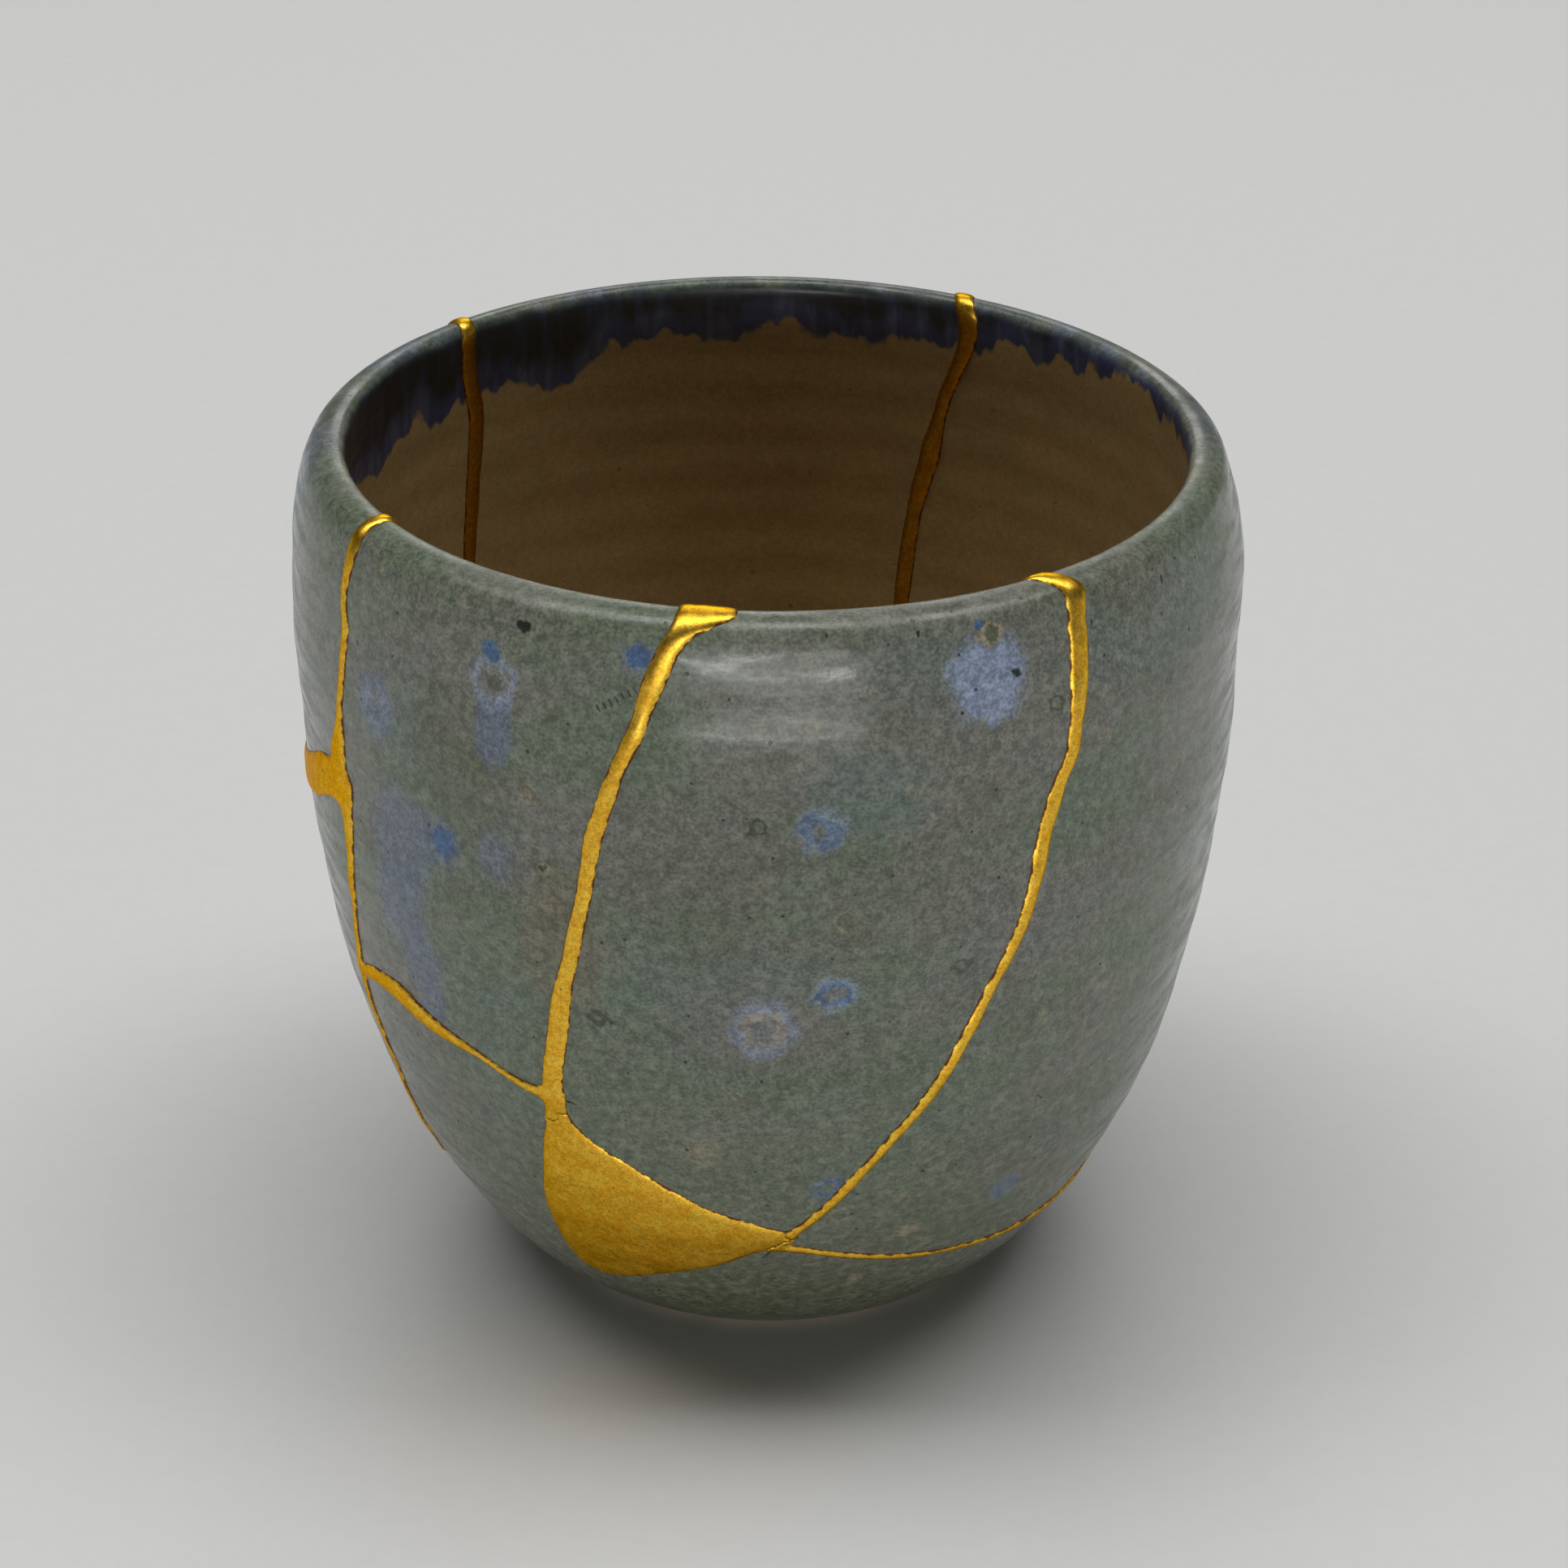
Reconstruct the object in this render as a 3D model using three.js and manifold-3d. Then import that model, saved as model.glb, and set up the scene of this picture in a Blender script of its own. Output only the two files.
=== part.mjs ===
// A hand-thrown stoneware teacup that broke into seven shards and was mended with gold lacquer.
// Millimetres, +Z up. The origin is the middle of the foot's underside, and the front faces -Y.
import * as THREE from "three";
import { mergeVertices } from "three/addons/utils/BufferGeometryUtils.js";
import Module from "manifold-3d";

const wasm = await Module();
wasm.setup();

// The thrown cup
const cupHeight = 86.2;
const bellyRadius = 45;
const bellyDrop = 17.6; // from the rim down to where the cup is widest
const lipRadius = 42.1; // of the outer wall, carried on to the full height
const wallThickness = 4.9; // at the belly
const floorThickness = 7.5; // from the table to the inside floor
const floorRadius = 16; // of the flat middle of the inside floor
const rimTilt = 0.75; // how far the uneven rim rises on its high side
const rimHighSide = 135; // degrees

// The rounded lip, thinner than the wall, with its crest nearer the inside
const lipOuterRound = 2.7;
const lipOuterDrop = 1.5;
const lipInnerRound = 0.9;
const lipInnerDrop = 1.7;

// The trimmed foot, whose bare edge shows under the glaze
const footRadius = 23;
const footHeight = 1;
const footWidth = 5;
const footRecess = 2.2;
const glazeOverhang = 0.7;

// How the wall swells from foot to belly, and curls in from belly to lip
const swellFullness = 2.6;
const swellStart = 0.74;
const lipCurl = 3.2;

// The lacquer that holds the shards
const lacquerProud = 0.35;
const jointGap = 0.3;

// The mesh
const turnSegments = 48;
const outerRings = 9;
const innerRings = 7;
const lipRings = 3;
const seamStep = 7;
const seamReach = 2.5; // how far a seam's cut starts outside the wall
const fillReach = 5; // and the lost piece's, which is cut in one flat step
const wallReach = 13; // how far both run in, past the inside of the wall
const slantStart = 0.86; // share of the height above which a break turns aslant

// Each seam runs down the wall as [degrees, share of the cup's height, width in mm].
// slant is how many degrees its break turns aside as it crosses the lip.
const seams = [
  {
    name: "left",
    slant: 0,
    route: [
      [213, 1.052, 1.7], [213.5, 0.944, 1.6], [213.5, 0.875, 1.2], [212.6, 0.806, 1.2], [211.5, 0.761, 2.2],
      [210.4, 0.712, 3.4], [211.2, 0.658, 1.8], [210.6, 0.598, 1.3], [208.6, 0.52, 1], [206.9, 0.451, 1.3],
      [206.2, 0.382, 1.1], [206.5, 0.313, 0.9], [205, 0.224, 0.9], [203, 0.17, 0.9],
    ],
  },
  {
    name: "branch",
    slant: 0,
    route: [
      [210.5, 0.697, 4.4], [205, 0.687, 4.2], [198, 0.658, 4.2], [188, 0.628, 3.2], [172, 0.608, 2.2],
      [157, 0.598, 2], [143.5, 0.598, 1.8],
    ],
  },
  {
    name: "diagonal",
    slant: 0,
    route: [
      [207, 0.451, 1.6], [212, 0.462, 2], [218, 0.468, 2.6], [223, 0.462, 2.4], [228, 0.454, 1.6],
      [232.5, 0.447, 1], [237, 0.435, 1], [240.5, 0.428, 1.3], [243.5, 0.425, 1.8],
    ],
  },
  {
    name: "centre",
    slant: 50,
    route: [
      [260.2, 1.052, 1.9], [259.6, 0.978, 1.8], [257.5, 0.934, 1.8], [255.5, 0.875, 1.6], [253, 0.82, 1.6],
      [251, 0.766, 1.75], [249.8, 0.707, 1.55], [248.8, 0.658, 1.6], [247, 0.598, 1.6], [245.8, 0.549, 2.1],
      [244.3, 0.49, 2.15], [243.3, 0.431, 2.2], [243, 0.386, 2.2],
    ],
  },
  {
    name: "right",
    slant: -38,
    route: [
      [308.3, 1.052, 2.2], [307.7, 0.968, 1.7], [307.1, 0.924, 2.1], [306.6, 0.894, 2], [305.6, 0.84, 1.5],
      [304, 0.796, 1.8], [302.3, 0.737, 1.6], [300.7, 0.677, 1.45], [298.8, 0.618, 1.1], [296, 0.564, 1.15],
      [292.6, 0.497, 1], [288.8, 0.435, 0.95], [283.2, 0.362, 0.9], [277.5, 0.293, 0.9], [273.5, 0.253, 0.9], [271, 0.226, 0.9],
    ],
  },
  {
    name: "foot_ring",
    slant: 0,
    route: [
      [270.5, 0.229, 1.4], [275, 0.218, 1.2], [283, 0.199, 1], [292, 0.179, 0.9], [303, 0.161, 0.9],
      [312, 0.151, 0.9], [330, 0.145, 0.9], [352, 0.155, 1], [375, 0.174, 1], [400, 0.179, 1.1],
      [432, 0.165, 1.1], [455, 0.155, 1], [480, 0.17, 1], [510, 0.179, 1], [535, 0.174, 0.9], [563, 0.17, 0.9],
    ],
  },
  {
    name: "back_right",
    slant: -25,
    route: [
      [62.5, 1.052, 1.9], [60.9, 0.953, 2], [61.8, 0.904, 1.7], [63.5, 0.845, 1.6], [65.2, 0.786, 2.2],
      [67, 0.727, 1.8], [68.2, 0.658, 1.8], [69, 0.579, 1.7], [70, 0.451, 1.6], [71, 0.303, 1.4], [72, 0.165, 1.2],
    ],
  },
  {
    name: "back_left",
    slant: 15,
    route: [
      [138.6, 1.052, 1.9], [138.7, 0.953, 2], [138.2, 0.884, 2.2], [139.2, 0.815, 2.1], [140.4, 0.746, 1.9],
      [142, 0.658, 1.8], [143.5, 0.589, 1.8], [145.5, 0.5, 1.6], [148, 0.372, 1.4], [149.5, 0.273, 1.2],
      [150, 0.174, 1.1],
    ],
  },
];

// The outline of the lost piece that lacquer fills, as [degrees, share of the height]
const fillOutline = [
  [243.6, 0.431], [241.2, 0.372], [238.6, 0.283], [236.5, 0.194], [237.3, 0.135], [242, 0.119],
  [252.5, 0.151], [263.5, 0.194], [274, 0.244], [265, 0.283], [254.5, 0.332], [246.5, 0.374],
];

// A place on each shard, as [degrees, share of the height]
const shardPlaces = {
  front_left_shard: [235, 0.7],
  front_shard: [275, 0.6],
  right_shard: [0, 0.6],
  back_shard: [100, 0.6],
  left_upper_shard: [180, 0.85],
  left_lower_shard: [180, 0.4],
  base_shard: [225, 0.2],
};

const bellyHeight = cupHeight - bellyDrop;
const glazeColor = 0x68736c;
const goldColor = 0xc9952a;

function swell(share) {
  const rest = 1 - Math.min(Math.max(share, 0), 1);
  return (1 - rest ** swellFullness) ** swellStart;
}

function curl(share, power) {
  return Math.min(Math.max(share, 0), 1) ** power;
}

function outerRadius(z) {
  const start = footRadius + glazeOverhang;
  if (z <= bellyHeight) {
    const share = (z - footHeight) / (bellyHeight - footHeight);
    return start + (bellyRadius - start) * swell(share);
  }
  const share = (z - bellyHeight) / (cupHeight - bellyHeight);
  return bellyRadius - (bellyRadius - lipRadius) * curl(share, lipCurl);
}

const lipOuterRadius = outerRadius(cupHeight - lipOuterDrop);
const lipCrestRadius = lipOuterRadius - lipOuterRound;
const lipInnerRadius = lipCrestRadius - lipInnerRound;
const innerBellyRadius = bellyRadius - wallThickness;

function innerRadius(z) {
  if (z <= bellyHeight) {
    const share = (z - floorThickness) / (bellyHeight - floorThickness);
    return floorRadius + (innerBellyRadius - floorRadius) * swell(share);
  }
  const share = (z - bellyHeight) / (cupHeight - lipInnerDrop - bellyHeight);
  return innerBellyRadius - (innerBellyRadius - lipInnerRadius) * curl(share, 2);
}

// Heights from low to high, closer together where the wall starts to swell and where it curls in
function wallHeights(low, high, rings) {
  const heights = [];
  for (let i = 1; i <= rings; i++) {
    const share = i / rings;
    heights.push(low + (high - low) * (share - 0.62 * share * (1 - share)));
  }
  return heights;
}

// The cup's profile from the middle of the foot, out, up, over the lip and down to the inside floor.
// proud moves the outer wall, the lip and the inner wall out of the clay by that much.
function profile(proud) {
  const points = [
    [0, footRecess],
    [footRadius - footWidth - footRecess, footRecess],
    [footRadius - footWidth, 0],
    [footRadius, 0],
    [footRadius, footHeight],
    [footRadius + glazeOverhang + proud, footHeight],
  ];
  for (const z of wallHeights(footHeight, cupHeight - lipOuterDrop, outerRings)) {
    points.push([outerRadius(z) + proud, z]);
  }
  for (let i = 1; i <= lipRings; i++) {
    const turn = (Math.PI / 2) * (i / lipRings);
    const r = lipCrestRadius + (lipOuterRound + proud) * Math.cos(turn);
    points.push([r, cupHeight - lipOuterDrop + (lipOuterDrop + proud) * Math.sin(turn)]);
  }
  for (let i = 1; i <= lipRings; i++) {
    const turn = (Math.PI / 2) * (i / lipRings);
    const r = lipCrestRadius - (lipInnerRound + proud) * Math.sin(turn);
    points.push([r, cupHeight - lipInnerDrop + (lipInnerDrop + proud) * Math.cos(turn)]);
  }
  const inside = wallHeights(floorThickness, cupHeight - lipInnerDrop, innerRings).reverse().slice(1);
  for (const z of inside) {
    points.push([innerRadius(z) - proud, z]);
  }
  points.push([floorRadius - proud, floorThickness], [0, floorThickness]);
  return points.map(([r, z]) => new THREE.Vector2(r, z));
}

// The uneven rim lifts the wall a little more the higher it is.
function rimLift(angle, z) {
  const share = Math.max(z, 0) / cupHeight;
  return rimTilt * Math.cos(angle - THREE.MathUtils.degToRad(rimHighSide)) * share ** 2;
}

function solidOf(geometry) {
  geometry.deleteAttribute("normal");
  geometry.deleteAttribute("uv");
  const merged = mergeVertices(geometry, 1e-4);
  const mesh = new wasm.Mesh({
    numProp: 3,
    vertProperties: merged.attributes.position.array,
    triVerts: new Uint32Array(merged.index.array),
  });
  return new wasm.Manifold(mesh);
}

function turnedCup(proud) {
  const cup = new THREE.LatheGeometry(profile(proud), turnSegments);
  cup.rotateX(Math.PI / 2);
  const position = cup.attributes.position;
  for (let i = 0; i < position.count; i++) {
    const angle = Math.atan2(position.getY(i), position.getX(i));
    position.setZ(i, position.getZ(i) + rimLift(angle, position.getZ(i)));
  }
  return solidOf(cup);
}

// The point of the outer wall at an angle in radians and a height
function wallPoint(angle, z) {
  const r = outerRadius(z);
  return new THREE.Vector3(r * Math.cos(angle), r * Math.sin(angle), z + rimLift(angle, z));
}

// The way a break runs in from the outer wall: level above the middle, and up to the middle below it
function breakDirection(point, slant) {
  const share = THREE.MathUtils.smoothstep(point.z / cupHeight, slantStart, 1);
  const aim = new THREE.Vector3(0, 0, Math.max(point.z, cupHeight / 2)).sub(point).normalize();
  return aim.applyAxisAngle(new THREE.Vector3(0, 0, 1), -THREE.MathUtils.degToRad(slant) * share);
}

// Samples of a route or outline over the wall, each with its point, break direction and sideways direction
function trackOf(route, slant, closed) {
  const unrolled = route.map(([degrees, share, width]) => {
    const along = THREE.MathUtils.degToRad(degrees) * bellyRadius;
    return new THREE.Vector3(along, share * cupHeight, width ?? 0);
  });
  const curve = new THREE.CatmullRomCurve3(unrolled, closed, "centripetal");
  const steps = Math.ceil(curve.getLength() / seamStep);
  const samples = curve.getSpacedPoints(steps).map((p) => ({
    point: wallPoint(p.x / bellyRadius, p.y),
    width: p.z,
  }));
  if (closed) samples.pop();
  const count = samples.length;
  samples.forEach((sample, i) => {
    const before = samples[closed ? (i + count - 1) % count : Math.max(i - 1, 0)].point;
    const after = samples[closed ? (i + 1) % count : Math.min(i + 1, count - 1)].point;
    sample.inward = breakDirection(sample.point, slant);
    sample.sideways = after.clone().sub(before).cross(sample.inward).normalize();
  });
  return samples;
}

function geometryFrom(points, faces) {
  const geometry = new THREE.BufferGeometry().setFromPoints(points);
  return geometry.setIndex(faces.flat());
}

// A seam's solid through the whole wall, with room beside it
function seamSolid({ route, slant }, room) {
  const points = [];
  const samples = trackOf(route, slant, false);
  for (const { point, width, inward, sideways } of samples) {
    const half = width / 2 + room;
    const outside = point.clone().addScaledVector(inward, -seamReach);
    const inside = point.clone().addScaledVector(inward, wallReach);
    for (const [base, side] of [[outside, -half], [outside, half], [inside, half], [inside, -half]]) {
      points.push(base.clone().addScaledVector(sideways, side));
    }
  }
  const faces = [[0, 1, 2], [0, 2, 3]];
  for (let i = 0; i + 1 < samples.length; i++) {
    for (let k = 0; k < 4; k++) {
      const [a, b] = [4 * i + k, 4 * i + ((k + 1) % 4)];
      // Both sides of the ribbon are split along the same diagonal, so a twisted one keeps its width.
      if (k < 2) faces.push([a, a + 4, b + 4], [a, b + 4, b]);
      else faces.push([a, a + 4, b], [b, a + 4, b + 4]);
    }
  }
  const last = 4 * (samples.length - 1);
  faces.push([last, last + 2, last + 1], [last, last + 3, last + 2]);
  return outward(geometryFrom(points, faces));
}

// The lost piece's solid through the whole wall, with room around it
function fillSolid(outline, room) {
  const samples = trackOf(outline, 0, true);
  const count = samples.length;
  const flat = samples.map(({ point }) => new THREE.Vector2(Math.atan2(point.y, point.x) * bellyRadius, point.z));
  const turn = THREE.ShapeUtils.isClockWise(flat) ? 1 : -1;
  const points = [];
  for (const depth of [-fillReach, wallReach]) {
    for (const { point, inward, sideways } of samples) {
      const edge = point.clone().addScaledVector(sideways, turn * room);
      points.push(edge.addScaledVector(inward, depth));
    }
  }
  const faces = [];
  for (const [a, b, c] of THREE.ShapeUtils.triangulateShape(flat, [])) {
    faces.push([a, b, c], [a + count, c + count, b + count]);
  }
  for (let i = 0; i < count; i++) {
    const next = (i + 1) % count;
    const [a, b] = turn > 0 ? [i, next] : [next, i];
    faces.push([a, b, b + count], [a, b + count, a + count]);
  }
  return outward(geometryFrom(points, faces));
}

// A closed solid whose faces point out, whichever way its loop was drawn
function outward(geometry) {
  const solid = solidOf(geometry);
  if (solid.volume() > 0) return solid;
  const index = geometry.index.array;
  for (let i = 0; i < index.length; i += 3) {
    [index[i + 1], index[i + 2]] = [index[i + 2], index[i + 1]];
  }
  return solidOf(geometry);
}

function union(solids) {
  return solids.reduce((sum, solid) => sum.add(solid));
}

// The separate body of a solid that holds a place on the wall
function bodyAt(bodies, [degrees, share]) {
  const point = wallPoint(THREE.MathUtils.degToRad(degrees), share * cupHeight);
  point.addScaledVector(breakDirection(point, 0), wallThickness / 2);
  const probe = new THREE.SphereGeometry(wallThickness / 8, 8, 6).translate(point.x, point.y, point.z);
  const probeSolid = solidOf(probe);
  return bodies.find((body) => body.intersect(probeSolid).volume() > 0);
}

function largest(solid) {
  return solid.decompose().sort((a, b) => b.volume() - a.volume())[0];
}

function meshOf(name, solid, color, metalness, roughness) {
  const { numProp, numVert, vertProperties, triVerts } = solid.getMesh();
  const position = new Float32Array(numVert * 3);
  for (let i = 0; i < numVert; i++) {
    position.set(vertProperties.subarray(i * numProp, i * numProp + 3), i * 3);
  }
  const geometry = new THREE.BufferGeometry();
  geometry.setAttribute("position", new THREE.BufferAttribute(position, 3));
  geometry.setIndex(new THREE.BufferAttribute(triVerts, 1));
  geometry.computeVertexNormals();
  const mesh = new THREE.Mesh(geometry, new THREE.MeshStandardMaterial({ color, metalness, roughness }));
  mesh.name = name;
  return mesh;
}

const clay = turnedCup(0);
const lacquerBounds = turnedCup(lacquerProud);
const seamLines = union(seams.map((seam) => seamSolid(seam, 0)));
const seamRooms = union(seams.map((seam) => seamSolid(seam, jointGap)));
const shards = clay.subtract(seamRooms).subtract(fillSolid(fillOutline, jointGap)).decompose();
const goldFill = largest(lacquerBounds.intersect(fillSolid(fillOutline, 0)).subtract(seamRooms));
const goldSeams = largest(lacquerBounds.intersect(seamLines));

const cup = new THREE.Group();
for (const [name, place] of Object.entries(shardPlaces)) {
  cup.add(meshOf(name, bodyAt(shards, place), glazeColor, 0, 0.4));
}
cup.add(meshOf("gold_fill", goldFill, goldColor, 0.9, 0.35));
cup.add(meshOf("gold_seams", goldSeams, goldColor, 0.9, 0.35));

export default cup;
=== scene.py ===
"""A mended teacup: a stoneware cup in seven shards, joined again with lacquer and gold.

Sizes are worked out in millimetres and put on the meshes in metres. Angles run anticlockwise
from +X as seen from above, so 270 degrees is the front of the cup.
"""

import math

import bmesh
import bpy
import numpy as np
from bpy.props import FloatProperty, FloatVectorProperty, IntProperty, PointerProperty
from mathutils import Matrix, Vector, noise


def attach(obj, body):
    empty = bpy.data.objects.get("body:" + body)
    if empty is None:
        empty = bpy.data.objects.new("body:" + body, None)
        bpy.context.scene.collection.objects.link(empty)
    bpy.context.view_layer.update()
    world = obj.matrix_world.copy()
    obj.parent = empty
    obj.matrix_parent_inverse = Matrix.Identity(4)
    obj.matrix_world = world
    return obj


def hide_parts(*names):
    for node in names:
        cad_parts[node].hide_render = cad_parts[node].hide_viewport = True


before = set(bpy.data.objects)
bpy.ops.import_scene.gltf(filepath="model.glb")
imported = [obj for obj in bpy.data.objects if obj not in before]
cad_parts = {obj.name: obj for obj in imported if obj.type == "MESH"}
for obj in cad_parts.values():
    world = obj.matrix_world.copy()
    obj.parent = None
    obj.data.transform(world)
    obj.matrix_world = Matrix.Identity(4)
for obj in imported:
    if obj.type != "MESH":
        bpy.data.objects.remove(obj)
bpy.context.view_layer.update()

bl_info = {
    "name": "Mended Teacup",
    "version": (1, 0, 0),
    "blender": (4, 5, 0),
    "location": "3D View > Sidebar > Teacup",
    "description": "Builds a stoneware teacup mended with lacquer and gold",
    "category": "Add Mesh",
}

MM = 0.001

# How the wall swells from foot to belly and curls in from belly to lip
SWELL_FULLNESS = 2.6
SWELL_START = 0.74
LIP_CURL = 3.2

# A break runs level above the middle of the cup and turns aside above this share of the height
SLANT_START = 0.86

# How far a break is cut in from the outer wall, past its inside, and how far out, in millimetres
DEEPEST = 13.0
HIGHEST = 2.5
BLOCK_HIGHEST = 5.0  # the lost piece's block is flat between its corners, so it starts further out
BLADE_RUN_ON = 2.6  # past the seam that a break ends at
BLADE_POINT = 0.02  # thickness of a blade at its ends

# Farther from every break than any place that matters, in millimetres
FAR_AWAY = 99.0

# A body of the broken cup with fewer faces than this is a sliver, not a shard
FEWEST_FACES = 200
SHARP_EDGE = 38  # degrees between two faces of a shard that meet in a crisp edge

# The gold's sheet runs on into the glaze past its edge, this far and this steeply
SKIRT = 0.4
SKIRT_SLOPE = 1.2

# Rounds of refining the gold's grid: cuts of each edge, then how far from the gold a face is kept,
# in millimetres
GOLD_ROUNDS = ((0, 2.1), (1, 1.3), (3, 0.75))

# Seams down or round the wall as (degrees, level in mm, width in mm) on a cup 86.2 mm tall.
# slant is how many degrees a break turns aside as it crosses the lip.
ROUTE_HEIGHT = 86.2
SEAMS = {
    "left": (0, [
        (213.0, 90.7, 1.7), (213.7, 84.8, 1.7), (213.6, 82.7, 1.5), (213.3, 80.1, 1.25),
        (213.9, 76.7, 1.2), (213.1, 71.8, 1.2), (212.3, 68.4, 1.3), (211.3, 65.5, 2.2),
        (209.8, 61.8, 3.4), (211.2, 57.7, 2.4), (211.5, 54.5, 1.5), (210.5, 51.3, 1.3),
        (209.2, 47.4, 1.1), (207.4, 42.3, 1.1), (206.6, 39.1, 1.4), (206.3, 35.6, 1.1),
        (206.1, 32.3, 1.0), (206.8, 27.3, 0.9), (205.0, 19.3, 0.9), (203.0, 14.6, 0.9),
    ]),
    "branch": (0, [
        (210.5, 60.1, 4.4), (205.0, 59.3, 4.2), (198.0, 56.7, 4.2), (188.0, 54.2, 3.2),
        (172.0, 52.5, 2.2), (157.0, 51.6, 2.0), (143.5, 51.6, 1.8),
    ]),
    "diagonal": (0, [
        (207.0, 38.8, 1.5), (211.7, 40.1, 1.9), (218.3, 40.6, 2.5), (220.6, 40.1, 2.5),
        (224.9, 39.4, 2.1), (228.2, 39.0, 1.6), (232.5, 38.5, 0.95), (236.4, 37.5, 0.95),
        (239.5, 36.9, 1.2), (243.5, 36.6, 1.8),
    ]),
    "centre": (16, [
        (264.5, 90.7, 1.9), (261.3, 85.6, 1.9), (259.8, 84.2, 1.95), (258.9, 82.9, 1.85),
        (258.2, 81.5, 1.85), (257.4, 80.0, 1.8), (256.0, 76.5, 1.6), (254.0, 72.7, 1.55),
        (252.4, 69.2, 1.65), (250.9, 65.6, 1.75), (250.0, 62.2, 1.6), (249.3, 59.0, 1.5),
        (248.3, 55.5, 1.6), (247.0, 51.5, 1.7), (246.1, 49.0, 1.95), (245.1, 45.1, 2.1),
        (244.3, 42.1, 2.15), (243.4, 38.5, 2.2), (243.0, 33.6, 2.2),
    ]),
    "right": (-38, [
        (308.3, 90.7, 2.2), (307.8, 84.8, 1.9), (307.5, 83.0, 1.75), (307.2, 80.6, 2.0),
        (306.8, 78.2, 2.05), (306.4, 76.5, 1.9), (305.7, 73.0, 1.5), (305.2, 70.8, 1.6),
        (304.1, 68.8, 1.8), (303.3, 66.4, 1.75), (302.4, 63.8, 1.6), (301.0, 59.1, 1.45),
        (299.1, 53.9, 1.3), (296.1, 48.7, 1.3), (292.6, 42.9, 1.25), (288.8, 37.5, 1.2),
        (283.2, 31.2, 1.15), (277.5, 25.3, 1.15), (273.5, 21.9, 1.1), (271.0, 19.5, 1.1),
    ]),
    "foot_ring": (0, [
        (270.5, 19.7, 1.2), (273.8, 19.3, 1.2), (280.3, 17.8, 1.1), (290.9, 15.6, 1.0),
        (302.5, 14.0, 0.85), (312.0, 13.0, 0.8), (330.0, 12.5, 0.8), (352.0, 13.4, 0.9),
        (375.0, 15.1, 1.0), (400.0, 15.5, 1.1), (432.0, 14.2, 1.1), (455.0, 13.4, 1.0),
        (480.0, 14.6, 1.0), (510.0, 15.5, 1.0), (535.0, 15.1, 0.9), (563.0, 14.6, 0.9),
    ]),
    "back_right": (-25, [
        (62.5, 90.7, 1.9), (60.9, 82.2, 2.0), (61.8, 78.0, 1.7), (63.5, 72.9, 1.6),
        (65.2, 67.8, 2.2), (67.0, 62.7, 1.8), (68.2, 56.7, 1.8), (69.0, 49.9, 1.7),
        (70.0, 38.9, 1.6), (71.0, 26.1, 1.4), (72.0, 14.2, 1.2),
    ]),
    "back_left": (15, [
        (138.6, 90.7, 1.9), (138.7, 82.2, 2.0), (138.2, 76.3, 2.2), (139.2, 70.3, 2.1),
        (140.4, 64.4, 1.9), (142.0, 56.7, 1.8), (143.5, 50.8, 1.8), (145.5, 43.1, 1.6),
        (148.0, 32.1, 1.4), (149.5, 23.6, 1.2), (150.0, 15.1, 1.1),
    ]),
}

# Gold smeared over the rim beside a seam, as (degrees, level in mm, width in mm)
SMEARS = {
    "centre_wedge": [
        (261.1, 85.9, 2.1), (262.5, 86.0, 1.8), (264.3, 86.1, 1.1), (265.7, 86.15, 0.5),
        (266.6, 86.2, 0.2),
    ],
}

# The outline of the lost piece that lacquer fills, as (degrees, level in mm)
FILL_OUTLINE = [
    (243.6, 37.1), (241.4, 33.6), (239.3, 28.1), (237.4, 22.6), (236.4, 17.1), (236.8, 12.0),
    (240.0, 10.3), (244.9, 10.8), (252.8, 13.0), (258.0, 14.6), (263.9, 16.7), (268.6, 18.8),
    (274.0, 21.4), (268.3, 23.4), (262.3, 25.2), (258.2, 27.1), (254.2, 28.8), (250.5, 30.6),
    (247.2, 32.2), (245.0, 34.2),
]

# Where each soft light stands and how wide it is, in metres
LIGHTS = {
    "Overhead": ((0.0, 0.03, 2.0), (2.9, 0.85)),
    "Behind": ((0.0, 1.9, 1.1), (1.0, 0.8)),
    "Front": ((0.0, -1.9, 0.12), (1.3, 0.13)),
}
LIGHTS_AIM = (0.0, 0.0, 0.04)
FLOOR_REACH = 12.0  # from the floor's middle to each of its edges

# A place on each shard, as (degrees, level in mm)
SHARD_PLACES = {
    "front_left_shard": (235, 59.5),
    "front_shard": (275, 51.0),
    "right_shard": (0, 51.0),
    "back_shard": (100, 51.0),
    "left_upper_shard": (180, 72.0),
    "left_lower_shard": (180, 34.0),
    "base_shard": (225, 17.0),
}

# The lower edge of the dark band inside the rim, as (degrees, level in mm)
BAND_EDGE = [
    (-12, 83.2), (0, 83.4), (12.6, 83.8), (23.9, 84.1), (42.9, 82.6), (57.8, 81.7), (71.1, 81.2),
    (77.4, 80.1), (83.6, 81.0), (95.9, 81.3), (108.4, 81.0), (116.2, 79.9), (122.8, 77.2),
    (130.0, 78.8), (136.3, 80.8), (146.3, 78.1), (154.4, 79.2), (161.4, 77.6), (169.2, 77.2),
    (182, 79.0), (196, 80.2), (214, 79.4), (230, 80.8), (252, 80.0), (275, 81.6), (300, 80.8),
    (324, 82.4), (348, 83.2),
]


def length(name, description, millimetres):
    """A size in the panel, kept in metres."""
    return FloatProperty(
        name=name,
        description=description,
        default=millimetres * MM,
        min=0.0,
        subtype="DISTANCE",
        unit="LENGTH",
        precision=5,
    )


def tint(name, description, colour):
    """A colour in the panel, as linear red, green and blue."""
    return FloatVectorProperty(
        name=name,
        description=description,
        default=colour,
        size=3,
        min=0.0,
        max=1.0,
        subtype="COLOR",
    )


def turn(name, description, degrees):
    """An angle in the panel, kept in radians."""
    return FloatProperty(
        name=name,
        description=description,
        default=math.radians(degrees),
        subtype="ANGLE",
        unit="ROTATION",
    )


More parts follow.
